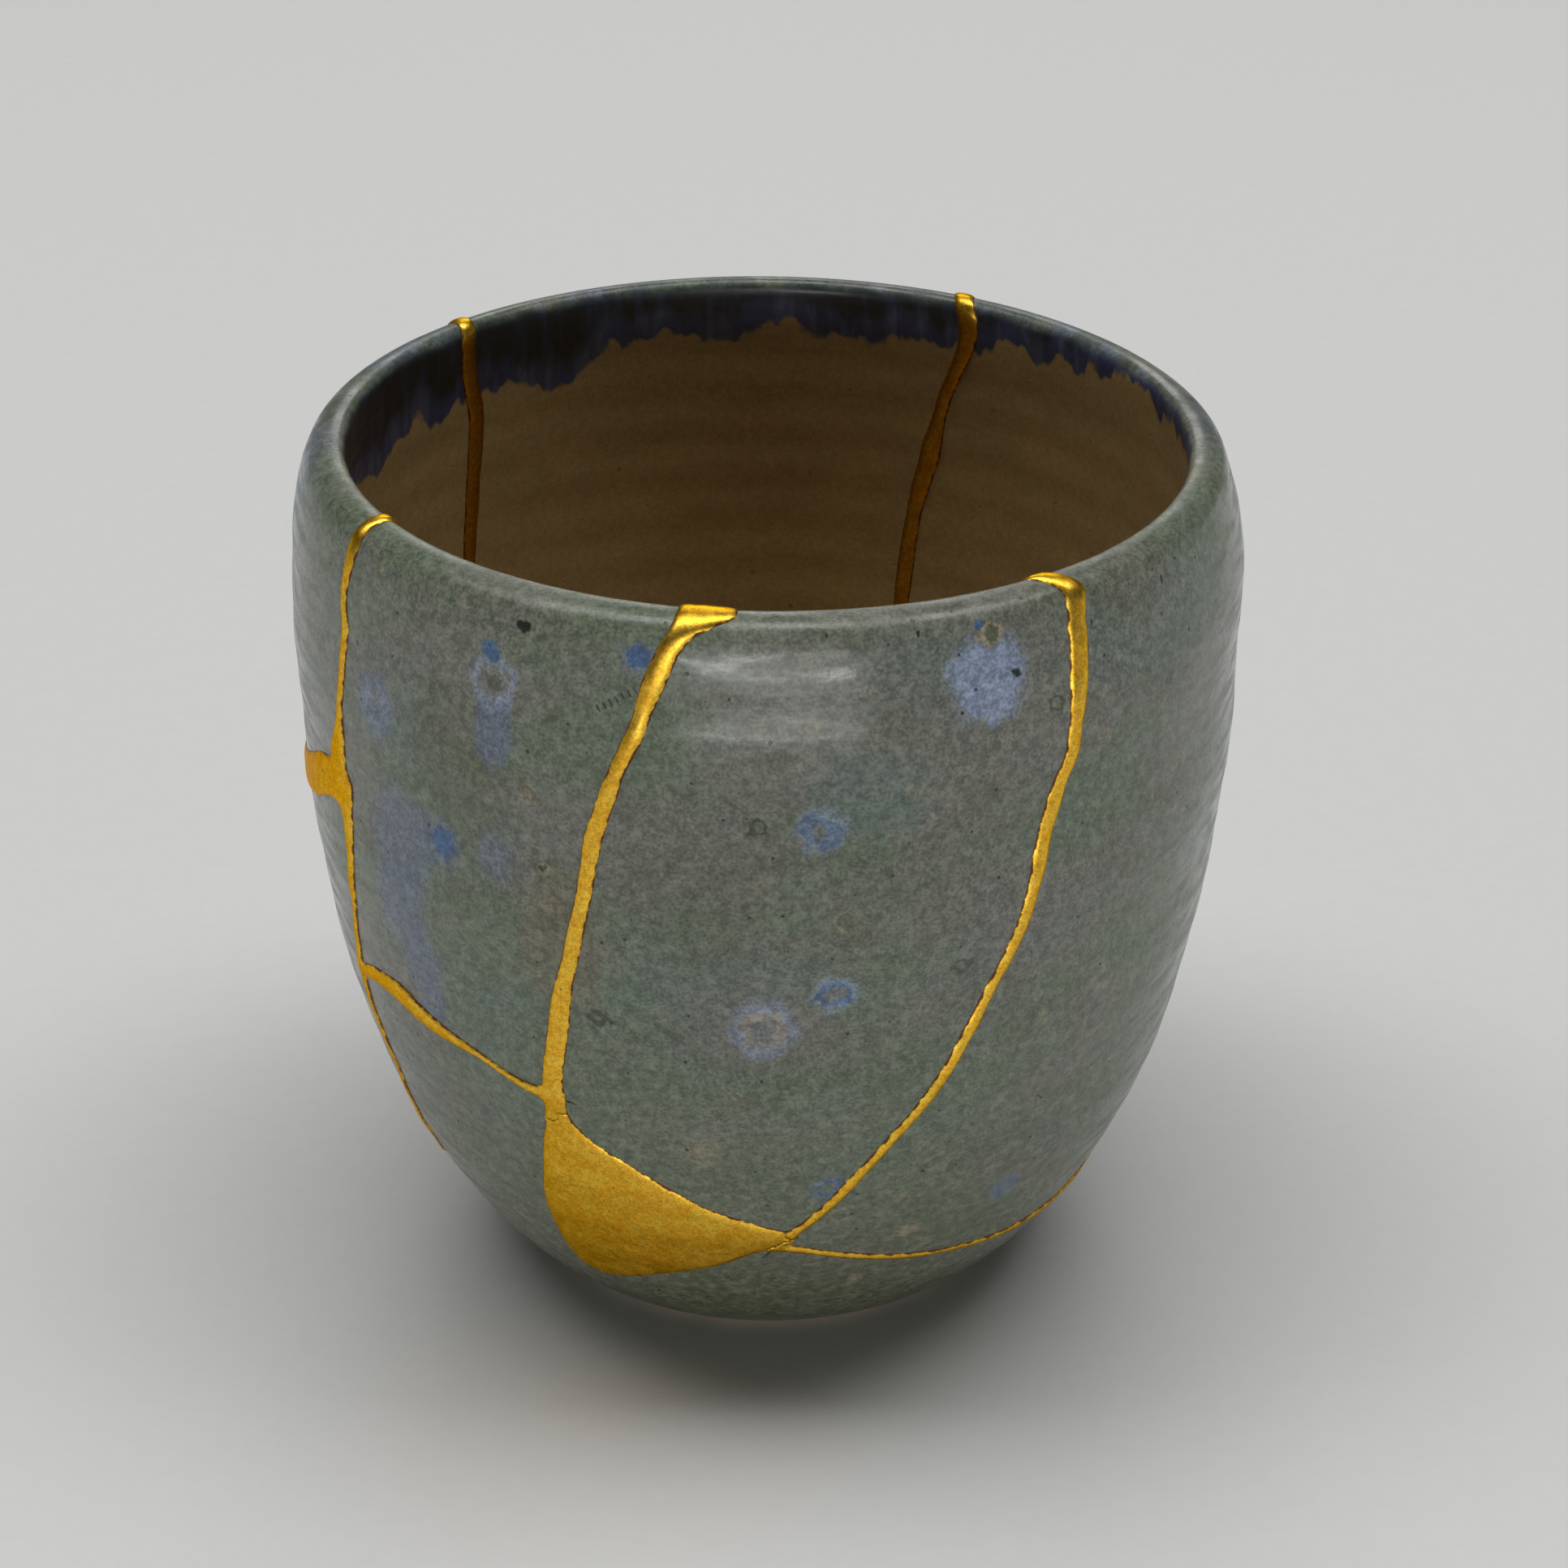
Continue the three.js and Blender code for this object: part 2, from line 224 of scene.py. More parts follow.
def light_power(name, description, watts):
    return FloatProperty(name=name, description=description, default=watts, min=0.0, unit="POWER")


class TeacupSizes(bpy.types.PropertyGroup):
    height: length("Height", "From the table to the rim's mean level", 86.2)
    belly_radius: length("Belly Radius", "Where the cup is widest", 45)
    belly_drop: length("Belly Drop", "From the rim down to where the cup is widest", 17.6)
    lip_radius: length("Lip Radius", "Of the outer wall, carried on to the full height", 42.1)
    wall: length("Wall", "Thickness of the wall at the belly", 4.9)
    floor_level: length("Floor Level", "From the table to the inside floor", 7.5)
    floor_radius: length("Floor Radius", "Of the flat middle of the inside floor", 16)
    rim_tilt: length("Rim Tilt", "How far the uneven rim rises on its high side", 0.75)
    rim_high_side: turn("Rim High Side", "Where the rim is highest", 135)
    lip_outer_round: length("Lip Outer Round", "From the crest out to the wall", 2.7)
    lip_outer_drop: length("Lip Outer Drop", "From the crest down to the outer wall", 1.5)
    lip_inner_round: length("Lip Inner Round", "From the crest in to the bowl", 0.9)
    lip_inner_drop: length("Lip Inner Drop", "From the crest down to the inner wall", 1.7)
    foot_radius: length("Foot Radius", "Of the bare foot ring", 23)
    foot_height: length("Foot Height", "Of the bare foot ring under the glaze", 1)
    foot_width: length("Foot Width", "Of the foot ring's flat underside", 5)
    foot_recess: length("Foot Recess", "How deep the underside is trimmed", 2.2)
    glaze_overhang: length("Glaze Overhang", "How far the glaze stands out over the foot", 0.7)
    ring_pitch: length("Ring Pitch", "Between the broad throwing rings outside", 16)
    ring_level: length("Ring Level", "Where the highest ring stands out in front", 71.5)
    ring_relief: length("Ring Relief", "How far a throwing ring stands out", 0.26)
    hand_relief: length("Hand Relief", "How uneven the thrown wall is", 0.12)
    side_dent: length("Side Dent", "How far the right side is pressed in", 0.42)
    side_dent_level: length("Side Dent Level", "Where the right side is pressed in", 39)
    turn_steps: IntProperty(
        name="Turn Steps",
        description="Faces round the cup",
        default=256,
        min=48,
        max=512,
    )


class GlazeColours(bpy.types.PropertyGroup):
    green: tint("Green", "The glaze where it is thick", (0.144, 0.184, 0.126))
    lavender: tint("Lavender Grey", "The glaze where it broke to grey", (0.180, 0.182, 0.154))
    teal: tint("Teal", "Cool patches high on the wall", (0.132, 0.184, 0.158))
    # Olive is also laid over the lower wall towards the foot, partly as painted shade.
    olive: tint("Olive", "Deep green blotches low on the wall", (0.096, 0.103, 0.055))
    brown: tint("Brown", "Where the clay shows through the glaze", (0.185, 0.140, 0.082))
    blue: tint("Blue", "Pools of blue in the glaze", (0.145, 0.176, 0.238))
    pale_blue: tint("Pale Blue", "The thickest pools of blue", (0.270, 0.330, 0.460))
    deep_blue: tint("Deep Blue", "Dots of dark blue", (0.060, 0.130, 0.260))
    tan: tint("Tan", "Freckles and rings", (0.300, 0.260, 0.170))
    speck: tint("Speck", "Iron specks and pinholes", (0.018, 0.020, 0.016))
    slate: tint("Slate", "Dark patches over the rim", (0.045, 0.062, 0.062))
    band: tint("Band", "The dark band inside the rim", (0.016, 0.020, 0.022))
    fringe: tint("Fringe", "The blue drips along the band", (0.042, 0.054, 0.120))
    clay: tint("Clay", "The brown clay inside", (0.355, 0.245, 0.102))
    thin: tint("Thin", "Where the glaze ends at the foot", (0.520, 0.460, 0.360))
    foot: tint("Foot", "The bare foot ring", (0.480, 0.370, 0.250))


class GoldLook(bpy.types.PropertyGroup):
    bright: tint("Bright Gold", "Gold powder where it lies thick", (0.940, 0.600, 0.072))
    amber: tint("Amber Gold", "Gold powder where it lies thin", (0.850, 0.460, 0.038))
    # The lacquer colour is also laid over the gold inside the bowl as painted shade.
    lacquer: tint("Lacquer", "The red-brown lacquer along the edges", (0.100, 0.032, 0.010))
    rim_tint: tint("Rim Tint", "The gold seen at a low angle", (0.800, 0.550, 0.250))
    crown: length("Crown", "How proud the lacquer stands of the glaze", 0.3)
    round_off: length("Round Off", "How far in from its edge the lacquer reaches its crown", 0.25)
    fillet: length("Fillet", "Rounding where two seams meet", 0.8)
    waver: length("Waver", "How far the brushed edge strays", 0.12)
    cell: length("Cell", "Size of the faces of the gold", 0.32)
    backing: length("Backing", "How thick the gold is, glaze side included", 0.55)
    break_gap: length("Break Gap", "Width of a break under the gold", 0.4)


class StageLook(bpy.types.PropertyGroup):
    paper: tint("Paper", "The pale floor", (0.765, 0.765, 0.757))
    glow: tint("Glow", "Light from low down all round", (1.0, 1.0, 1.0))
    glow_strength: FloatProperty(
        name="Glow Strength",
        description="Strength of the light from the level of the table",
        default=0.28,
        min=0.0,
    )
    dome_strength: FloatProperty(
        name="Dome Strength",
        description="Strength of the light from higher up",
        default=0.03,
        min=0.0,
    )
    overhead_watts: light_power("Overhead", "Of the wide soft light over the cup", 36)
    behind_watts: light_power("Behind", "Of the soft light behind the cup", 6)
    front_watts: light_power("Front", "Of the low wide light in front of the cup", 8)
    camera_rise: turn("Camera Rise", "How far above level the camera looks from", 27.9)
    camera_distance: length("Camera Distance", "From the camera to its aim", 321)
    camera_aim: FloatVectorProperty(
        name="Camera Aim",
        description="The point that the camera looks at",
        default=(0.00152, 0.0, 0.04831),
        size=3,
        subtype="XYZ",
        unit="LENGTH",
        precision=5,
    )
    camera_lens: FloatProperty(
        name="Lens",
        description="Focal length in millimetres on a 36 mm sensor",
        default=74.53,
        min=1.0,
    )


def smooth_step(value, low, high):
    share = np.clip((value - low) / (high - low), 0.0, 1.0)
    return share * share * (3.0 - 2.0 * share)


def smooth_most(first, second, fillet):
    """The larger of two fields, rounded where they are alike."""
    near = np.maximum(fillet - np.abs(first - second), 0.0) / fillet
    return np.maximum(first, second) + near * near * fillet / 4.0


def swell(share):
    rest = 1.0 - np.clip(share, 0.0, 1.0)
    return (1.0 - rest**SWELL_FULLNESS) ** SWELL_START


def straight(start, end, step=0.25):
    steps = max(2, int(math.dist(start, end) / step))
    share = np.linspace(0.0, 1.0, steps)[:, None]
    return (1.0 - share) * np.array(start) + share * np.array(end)


def bend(start, leave, arrive, end, steps=24):
    """A cubic curve from start to end through two handles."""
    s = np.linspace(0.0, 1.0, steps)[:, None]
    corners = [np.array(corner) for corner in (start, leave, arrive, end)]
    weights = ((1 - s) ** 3, 3 * s * (1 - s) ** 2, 3 * s * s * (1 - s), s**3)
    return sum(weight * corner for weight, corner in zip(weights, corners))


class CupForm:
    """The cup's turned outline and the surface that it sweeps, in millimetres."""

    def __init__(self, sizes):
        self.height = sizes.height / MM
        self.belly = sizes.belly_radius / MM
        self.belly_level = self.height - sizes.belly_drop / MM
        self.lip = sizes.lip_radius / MM
        self.inner_belly = self.belly - sizes.wall / MM
        self.floor_level = sizes.floor_level / MM
        self.floor_radius = sizes.floor_radius / MM
        self.tilt = sizes.rim_tilt / MM
        self.high_side = sizes.rim_high_side
        self.foot = sizes.foot_radius / MM
        self.foot_height = sizes.foot_height / MM
        self.ring_pitch = sizes.ring_pitch / MM
        self.ring_level = sizes.ring_level / MM
        self.side_dent = sizes.side_dent / MM
        self.side_dent_level = sizes.side_dent_level / MM
        self.ring_relief = sizes.ring_relief / MM
        self.hand_relief = sizes.hand_relief / MM
        self.overhang = sizes.glaze_overhang / MM
        self.lip_out_level = self.height - sizes.lip_outer_drop / MM
        self.lip_in_level = self.height - sizes.lip_inner_drop / MM
        self.crest_radius = float(self.outer_radius(self.lip_out_level)) - sizes.lip_outer_round / MM
        self.lip_in_radius = self.crest_radius - sizes.lip_inner_round / MM
        self.trace_outline(sizes.foot_width / MM, sizes.foot_recess / MM)

    def outer_radius(self, level):
        start = self.foot + self.overhang
        low = start + (self.belly - start) * swell(
            (level - self.foot_height) / (self.belly_level - self.foot_height)
        )
        curl = np.clip((level - self.belly_level) / (self.height - self.belly_level), 0.0, 1.0)
        high = self.belly - (self.belly - self.lip) * curl**LIP_CURL
        return np.where(level <= self.belly_level, low, high)

    def inner_radius(self, level):
        low = self.floor_radius + (self.inner_belly - self.floor_radius) * swell(
            (level - self.floor_level) / (self.belly_level - self.floor_level)
        )
        curl = np.clip((level - self.belly_level) / (self.lip_in_level - self.belly_level), 0.0, 1.0)
        high = self.inner_belly - (self.inner_belly - self.lip_in_radius) * curl**2
        return np.where(level <= self.belly_level, low, high)

    def trace_outline(self, foot_width, recess):
        """Trace the outline from under the foot, up the outside, over the lip and down inside."""
        inner_foot = self.foot - foot_width
        edge = 0.5
        low_wall = np.linspace(0.0, 1.0, 500) ** 2
        outer_levels = self.foot_height + (self.lip_out_level - self.foot_height) * low_wall
        inner_levels = self.floor_level + (self.lip_in_level - self.floor_level) * low_wall[::-1]
        outer = np.stack([self.outer_radius(outer_levels), outer_levels], axis=1)
        inner = np.stack([self.inner_radius(inner_levels), inner_levels], axis=1)
        outer_lean = outer[-1] - outer[-2]
        outer_lean /= outer_lean[1]
        inner_lean = inner[1] - inner[0]
        inner_lean /= -inner_lean[1]
        crest = np.array([self.crest_radius, self.height])
        rise = self.height - self.lip_out_level
        drop = self.height - self.lip_in_level
        pieces = {
            "recess": straight((0.0, recess), (inner_foot - 1.6 * recess, recess)),
            "slope": bend(
                (inner_foot - 1.6 * recess, recess),
                (inner_foot - 0.7 * recess, recess),
                (inner_foot - 0.5 * recess, 0.0),
                (inner_foot + edge, 0.0),
            ),
            "sole": straight((inner_foot + edge, 0.0), (self.foot - edge, 0.0)),
            "edge": bend(
                (self.foot - edge, 0.0),
                (self.foot - 0.4 * edge, 0.0),
                (self.foot, 0.4 * edge),
                (self.foot, edge),
                10,
            ),
            "bead": bend(
                (self.foot, self.foot_height - 0.1),
                (self.foot + 0.05, self.foot_height - 0.4),
                (self.foot + self.overhang - 0.05, self.foot_height - 0.4),
                outer[0],
                12,
            ),
            "outer": outer,
            "lip_out": bend(
                outer[-1],
                outer[-1] + outer_lean * rise * 0.62,
                crest + np.array([(outer[-1][0] - crest[0]) * 0.5, 0.0]),
                crest,
            ),
            "lip_in": bend(
                crest,
                crest - np.array([(crest[0] - inner[0][0]) * 0.6, 0.0]),
                inner[0] - inner_lean * drop * 0.62,
                inner[0],
            ),
            "inner": inner,
            "floor": straight((self.floor_radius, self.floor_level), (0.0, self.floor_level)),
        }
        points = np.concatenate(list(pieces.values()))
        keep = np.ones(len(points), dtype=bool)
        keep[1:] = np.linalg.norm(np.diff(points, axis=0), axis=1) > 1e-6
        points = points[keep]
        along = np.concatenate([[0.0], np.cumsum(np.linalg.norm(np.diff(points, axis=0), axis=1))])
        self.along = np.arange(0.0, along[-1], 0.2)
        self.radius = np.interp(self.along, along, points[:, 0])
        self.level = np.interp(self.along, along, points[:, 1])
        forward = np.gradient(np.stack([self.radius, self.level], axis=1), axis=0)
        forward /= np.linalg.norm(forward, axis=1)[:, None]
        self.out_r = forward[:, 1]
        self.out_z = -forward[:, 0]
        self.end = self.along[-1]
        self.radius[-1] = 0.0
        marks = {
            "glaze": outer[0],
            "lip_out": outer[-1],
            "crest": crest,
            "lip_in": inner[0],
            "floor": inner[-1],
        }
        self.marks = {
            name: float(along[np.argmin(np.linalg.norm(points - place, axis=1))])
            for name, place in marks.items()
        }

    def relief(self, angle, along):
        """Throwing rings and the unevenness of a hand-thrown wall."""
        marks = self.marks
        level = np.interp(along, self.along, self.level)
        outside = smooth_step(along, marks["glaze"] + 3, marks["glaze"] + 16)
        outside = outside * (1 - smooth_step(along, marks["lip_out"] - 3, marks["crest"]))
        inside = smooth_step(along, marks["crest"], marks["lip_in"] + 8)
        inside = inside * (1 - smooth_step(along, marks["floor"] - 6, marks["floor"] + 4))
        from_front = angle - 1.5 * np.pi
        rings = np.cos(2 * np.pi * (level - self.ring_level) / self.ring_pitch - from_front)
        strength = 0.35 + 0.65 * smooth_step(level, 25, self.ring_level)
        strength = strength * (0.4 + 0.6 * np.maximum(np.cos(from_front), 0.0) ** 2)
        lines = np.sin(2 * np.pi * level / (0.31 * self.ring_pitch) + 2 * np.sin(angle) - angle)
        hand = 0.6 * np.sin(2 * angle + along / 19.0) + 0.4 * np.sin(3 * angle - along / 27.0 + 1.3)
        round_side = np.exp(-((((angle + np.pi) % (2 * np.pi) - np.pi) / 0.8) ** 2))
        dent = round_side * np.exp(-(((level - self.side_dent_level) / 14.0) ** 2))
        return (
            outside * self.ring_relief * (rings * strength + 0.10 * lines)
            + outside * (self.hand_relief * hand - self.side_dent * dent)
            + inside * (0.16 * self.ring_relief * lines + 0.5 * self.hand_relief * hand)
        )

    def rim_lift(self, angle, level):
        share = np.maximum(level, 0.0) / self.height
        return self.tilt * np.cos(angle - self.high_side) * share**2

    def skin(self, angle, along, proud=0.0):
        """Points of the cup's surface, or of one that stands proud of it."""
        lift = proud + self.relief(angle, along)
        radius = np.interp(along, self.along, self.radius)
        radius = radius + np.interp(along, self.along, self.out_r) * lift
        level = np.interp(along, self.along, self.level)
        level = level + np.interp(along, self.along, self.out_z) * lift
        level = level + self.rim_lift(angle, level)
        return np.stack([radius * np.cos(angle), radius * np.sin(angle), level], axis=-1)

    def wall_point(self, angle, level):
        """Points of the plain outer wall at a level, which goes on straight above the lip."""
        radius = self.outer_radius(level)
        lifted = level + self.rim_lift(angle, level)
        return np.stack([radius * np.cos(angle), radius * np.sin(angle), lifted], axis=-1)

    def place_at(self, degrees, level):
        return self.wall_point(math.radians(degrees), np.array(float(level)))

    def along_of(self, points):
        """Where on the outline the nearest point of the surface is."""
        angle = np.arctan2(points[:, 1], points[:, 0])
        radius = np.hypot(points[:, 0], points[:, 1])
        level = points[:, 2] - self.rim_lift(angle, points[:, 2])
        nearest = np.empty(len(points), dtype=int)
        for start in range(0, len(points), 4000):
            part = slice(start, start + 4000)
            away = (radius[part, None] - self.radius) ** 2 + (level[part, None] - self.level) ** 2
            nearest[part] = np.argmin(away, axis=1)
        return self.along[nearest]


def smooth_route(points, closed=False, step=1.3):
    """A smooth curve through the points, sampled evenly by the length of its first two numbers."""
    points = np.array(points, dtype=float)
    if closed:
        points = np.concatenate([points[-1:], points, points[:2]])
    knots = np.concatenate([[0.0], np.cumsum(np.linalg.norm(np.diff(points, axis=0), axis=1) ** 0.5)])
    slopes = np.diff(points, axis=0) / np.diff(knots)[:, None]
    spans = np.diff(knots)[:, None]
    tangents = np.empty_like(points)
    tangents[0] = slopes[0]
    tangents[-1] = slopes[-1]
    tangents[1:-1] = (slopes[:-1] * spans[1:] + slopes[1:] * spans[:-1]) / (spans[1:] + spans[:-1])
    pieces = []
    first, last = (1, len(points) - 2) if closed else (0, len(points) - 1)
    for i in range(first, last):
        s = np.linspace(0.0, 1.0, 12, endpoint=False)[:, None]
        span = knots[i + 1] - knots[i]
        pieces.append(
            (2 * s**3 - 3 * s**2 + 1) * points[i]
            + (s**3 - 2 * s**2 + s) * span * tangents[i]
            + (3 * s**2 - 2 * s**3) * points[i + 1]
            + (s**3 - s**2) * span * tangents[i + 1]
        )
    pieces.append(points[last][None, :])
    curve = np.concatenate(pieces)
    run = np.concatenate([[0.0], np.cumsum(np.linalg.norm(np.diff(curve[:, :2], axis=0), axis=1))])
    count = max(3, round(run[-1] / step) + 1)
    even = np.linspace(0.0, run[-1], count)
    return np.stack([np.interp(even, run, column) for column in curve.T], axis=1)


class Break:
    """One break through the wall: points down the outside, each with a line that runs in."""

    def __init__(self, form, angle, level, slant=0.0, closed=False, half_width=None):
        self.form = form
        self.angle = angle
        self.level = level
        self.slant = slant
        self.closed = closed
        self.half_width = half_width
        self.points = form.wall_point(angle, level)
        aim = -self.points
        aim[:, 2] = np.maximum(self.points[:, 2], form.height / 2) - self.points[:, 2]
        aim /= np.linalg.norm(aim, axis=1)[:, None]
        share = smooth_step(self.points[:, 2] / form.height, SLANT_START, 1.0)
        cos, sin = np.cos(-slant * share), np.sin(-slant * share)
        self.inward = np.stack(
            [cos * aim[:, 0] - sin * aim[:, 1], sin * aim[:, 0] + cos * aim[:, 1], aim[:, 2]], axis=1
        )

    def carried_on(self, farther):
        """The same break, run straight on by a distance at both ends."""
        angle, level, belly = self.angle, self.level, self.form.belly
        ends = []
        for end, inner in ((0, 1), (-1, -2)):
            away = np.array([(angle[end] - angle[inner]) * belly, level[end] - level[inner]])
            away *= farther / np.linalg.norm(away)
            ends.append((angle[end] + away[0] / belly, level[end] + away[1]))
        (first_angle, first_level), (last_angle, last_level) = ends
        return Break(
            self.form,
            np.concatenate([[first_angle], angle, [last_angle]]),
            np.concatenate([[first_level], level, [last_level]]),
            self.slant,
        )

    def sideways(self):
        """The way across the break at each sample."""
        if self.closed:
            run = np.roll(self.points, -1, axis=0) - np.roll(self.points, 1, axis=0)
        else:
            run = np.gradient(self.points, axis=0)
        across = np.cross(run, self.inward)
        return across / np.linalg.norm(across, axis=1)[:, None]

    def near(self, places, room=0.35):
        """Which places are in the part of the cup that the break runs through."""
        middle = (self.angle.min() + self.angle.max()) / 2
        half_turn = (self.angle.max() - self.angle.min()) / 2 + room
        away = (np.arctan2(places[:, 1], places[:, 0]) - middle + np.pi) % (2 * np.pi) - np.pi
        level = places[:, 2]
        return (np.abs(away) < half_turn) & (level > self.level.min() - 8) & (level < self.level.max() + 16)

    def reach_near(self, places):
        """The same as reach, worked out only where the break can be near."""
        distance = np.full(len(places), FAR_AWAY)
        half_width = np.zeros(len(places))
        near = self.near(places)
        if near.any():
            distance[near], half_width[near] = self.reach(places[near])
        return distance, half_width

    def reach(self, places):
        """Distance from each place to the break's surface, and the half width of the seam there."""
        distance = np.full(len(places), FAR_AWAY)
        half_width = np.zeros(len(places))
        after = np.roll(np.arange(len(self.points)), -1) if self.closed else None
        for start in range(0, len(places), 3000):
            part = slice(start, start + 3000)
            away = places[part, None, :] - self.points
            depth = np.einsum("psk,sk->ps", away, self.inward)
            foot = depth[..., None] * self.inward - away
            if self.closed:
                near, far = foot, foot[:, after]
                widths = self.half_width, self.half_width[after]
            else:
                near, far = foot[:, :-1], foot[:, 1:]
                widths = self.half_width[:-1], self.half_width[1:]
                depth = depth[:, :-1]
            run = far - near
            share = -np.einsum("psk,psk->ps", near, run) / np.einsum("psk,psk->ps", run, run)
            share = np.clip(share, 0.0, 1.0)
            gap = np.linalg.norm(near + share[..., None] * run, axis=2)
            gap[(depth < -HIGHEST) | (depth > DEEPEST)] = FAR_AWAY
            width = widths[0] + share * (widths[1] - widths[0])
            best = np.argmin(gap - width, axis=1)
            rows = np.arange(len(best))
            distance[part] = gap[rows, best]
            half_width[part] = width[rows, best]
        return distance, half_width


def break_along(form, route, slant=0.0, closed=False):
    """The break that runs smoothly through the places of a route."""
    scale = form.height / ROUTE_HEIGHT
    unrolled = [(math.radians(place[0]) * form.belly, place[1] * scale, *place[2:]) for place in route]
    samples = smooth_route(unrolled, closed)
    if closed:
        samples = samples[:-1]
    half_width = samples[:, 2] / 2 if samples.shape[1] > 2 else np.zeros(len(samples))
    angle = samples[:, 0] / form.belly
    return Break(form, angle, samples[:, 1], math.radians(slant), closed, half_width)


class Mend:
    """Where gold lies: how far each place is inside the edge of the gold, in millimetres."""

    def __init__(self, form, fillet):
        self.fillet = fillet
        self.seams = [break_along(form, route, slant) for slant, route in SEAMS.values()]
        self.smears = [break_along(form, route) for route in SMEARS.values()]
        self.fill = break_along(form, FILL_OUTLINE, closed=True)
        self.eye = np.array([0.0, 0.0, form.height / 2])
        self.facing = self.fill.points.mean(axis=0) - self.eye
        self.facing /= np.linalg.norm(self.facing)
        self.right = np.cross(self.facing, [0.0, 0.0, 1.0])
        self.right /= np.linalg.norm(self.right)
        self.up = np.cross(self.right, self.facing)

    def flatten(self, places):
        """Places as seen from the eye that the lost piece's sides all run to."""
        away = places - self.eye
        ahead = away @ self.facing
        ahead = np.where(ahead > 1.0, ahead, np.nan)
        return np.stack([away @ self.right / ahead, away @ self.up / ahead], axis=1)

    def inside_fill(self, places):
        seen = self.flatten(places)
        outline = self.flatten(self.fill.points)
        inside = np.zeros(len(places), dtype=bool)
        for (x1, y1), (x2, y2) in zip(outline, np.roll(outline, -1, axis=0)):
            crosses = (y1 > seen[:, 1]) != (y2 > seen[:, 1])
            if y1 != y2:
                inside ^= crosses & (seen[:, 0] < (x2 - x1) * (seen[:, 1] - y1) / (y2 - y1) + x1)
        return inside

    def fields(self, places):
        """How far inside the seams, and inside the lost piece, each place is."""
        seam = np.full(len(places), -FAR_AWAY)
        for line in [*self.seams, *self.smears]:
            distance, half_width = line.reach_near(places)
            seam = smooth_most(seam, half_width - distance, self.fillet)
        distance, _ = self.fill.reach_near(places)
        fill = np.where(self.inside_fill(places), distance, -distance)
        return seam, fill


def make_mesh(name, bm):
    mesh = bpy.data.meshes.new(name)
    bm.to_mesh(mesh)
    bm.free()
    return mesh


def make_object(name, mesh):
    piece = bpy.data.objects.new(name, mesh)
    bpy.context.scene.collection.objects.link(piece)
    return piece


def points_of(bm):
    return np.array([vert.co[:] for vert in bm.verts])


def faces_of_index(bm, number):
    """A smooth copy of the faces that carry one material index, with the index cleared."""
    part = bm.copy()
    others = [face for face in part.faces if face.material_index != number]
    bmesh.ops.delete(part, geom=others, context="FACES")
    for face in part.faces:
        face.smooth = True
        face.material_index = 0
    return part


def face_outward(bm):
    """Turn the faces of a closed mesh outward, judged by the sign of its volume."""
    bmesh.ops.recalc_face_normals(bm, faces=bm.faces[:])
    if bm.calc_volume(signed=True) < 0:
        bmesh.ops.reverse_faces(bm, faces=bm.faces[:])


def turned_cup(form, steps):
    """The whole cup before it broke, as one closed mesh."""
    marks = form.marks
    rows = np.concatenate([
        np.arange(0.0, marks["glaze"] - 3.0, 1.0),
        np.arange(marks["glaze"] - 3.0, marks["glaze"] + 1.0, 0.25),
        np.arange(marks["glaze"] + 1.0, marks["lip_out"] - 1.0, 0.95),
        np.arange(marks["lip_out"] - 1.0, marks["lip_in"] + 1.0, 0.35),
        np.arange(marks["lip_in"] + 1.0, form.end - 0.5, 1.0),
        [form.end],
    ])
    bm = bmesh.new()
    layer = bm.verts.layers.float.new("along")
    for along in rows:
        vert = bm.verts.new((
            np.interp(along, form.along, form.radius),
            0.0,
            np.interp(along, form.along, form.level),
        ))
        vert[layer] = along
    bm.verts.ensure_lookup_table()
    for first, second in zip(bm.verts[:], bm.verts[1:]):
        bm.edges.new((first, second))
    bmesh.ops.spin(
        bm,
        geom=bm.verts[:] + bm.edges[:],
        cent=(0, 0, 0),
        axis=(0, 0, 1),
        dvec=(0, 0, 0),
        angle=2 * math.pi,
        steps=steps,
        use_merge=True,
    )
    bmesh.ops.remove_doubles(bm, verts=bm.verts[:], dist=0.001)
    face_outward(bm)
    turned = points_of(bm)
    angle = np.arctan2(turned[:, 1], turned[:, 0])
    along = np.array([vert[layer] for vert in bm.verts])
    for vert, place in zip(bm.verts, form.skin(angle, along)):
        vert.co = place * MM
    return make_object("whole_cup", make_mesh("whole_cup", bm))


def thin_cutter(line, gap):
    """A thin closed blade through the wall along a seam, that runs on to a fine point at each end."""
    line = line.carried_on(BLADE_RUN_ON)
    across = line.sideways()
    count = len(line.points)
    bm = bmesh.new()
    bmesh.ops.create_grid(bm, x_segments=count - 1, y_segments=1, size=0.5)
    made = bmesh.ops.extrude_face_region(bm, geom=bm.faces[:])
    lifted = {element for element in made["geom"] if isinstance(element, bmesh.types.BMVert)}
    for vert in bm.verts:
        station = round((vert.co.x + 0.5) * (count - 1))
        depth = DEEPEST if vert.co.y > 0 else -HIGHEST
        half = (BLADE_POINT if station in (0, count - 1) else gap) / 2
        side = half if vert in lifted else -half
        place = line.points[station] + line.inward[station] * depth + across[station] * side
        vert.co = place * MM
    face_outward(bm)
    return make_object("cutter", make_mesh("cutter", bm))


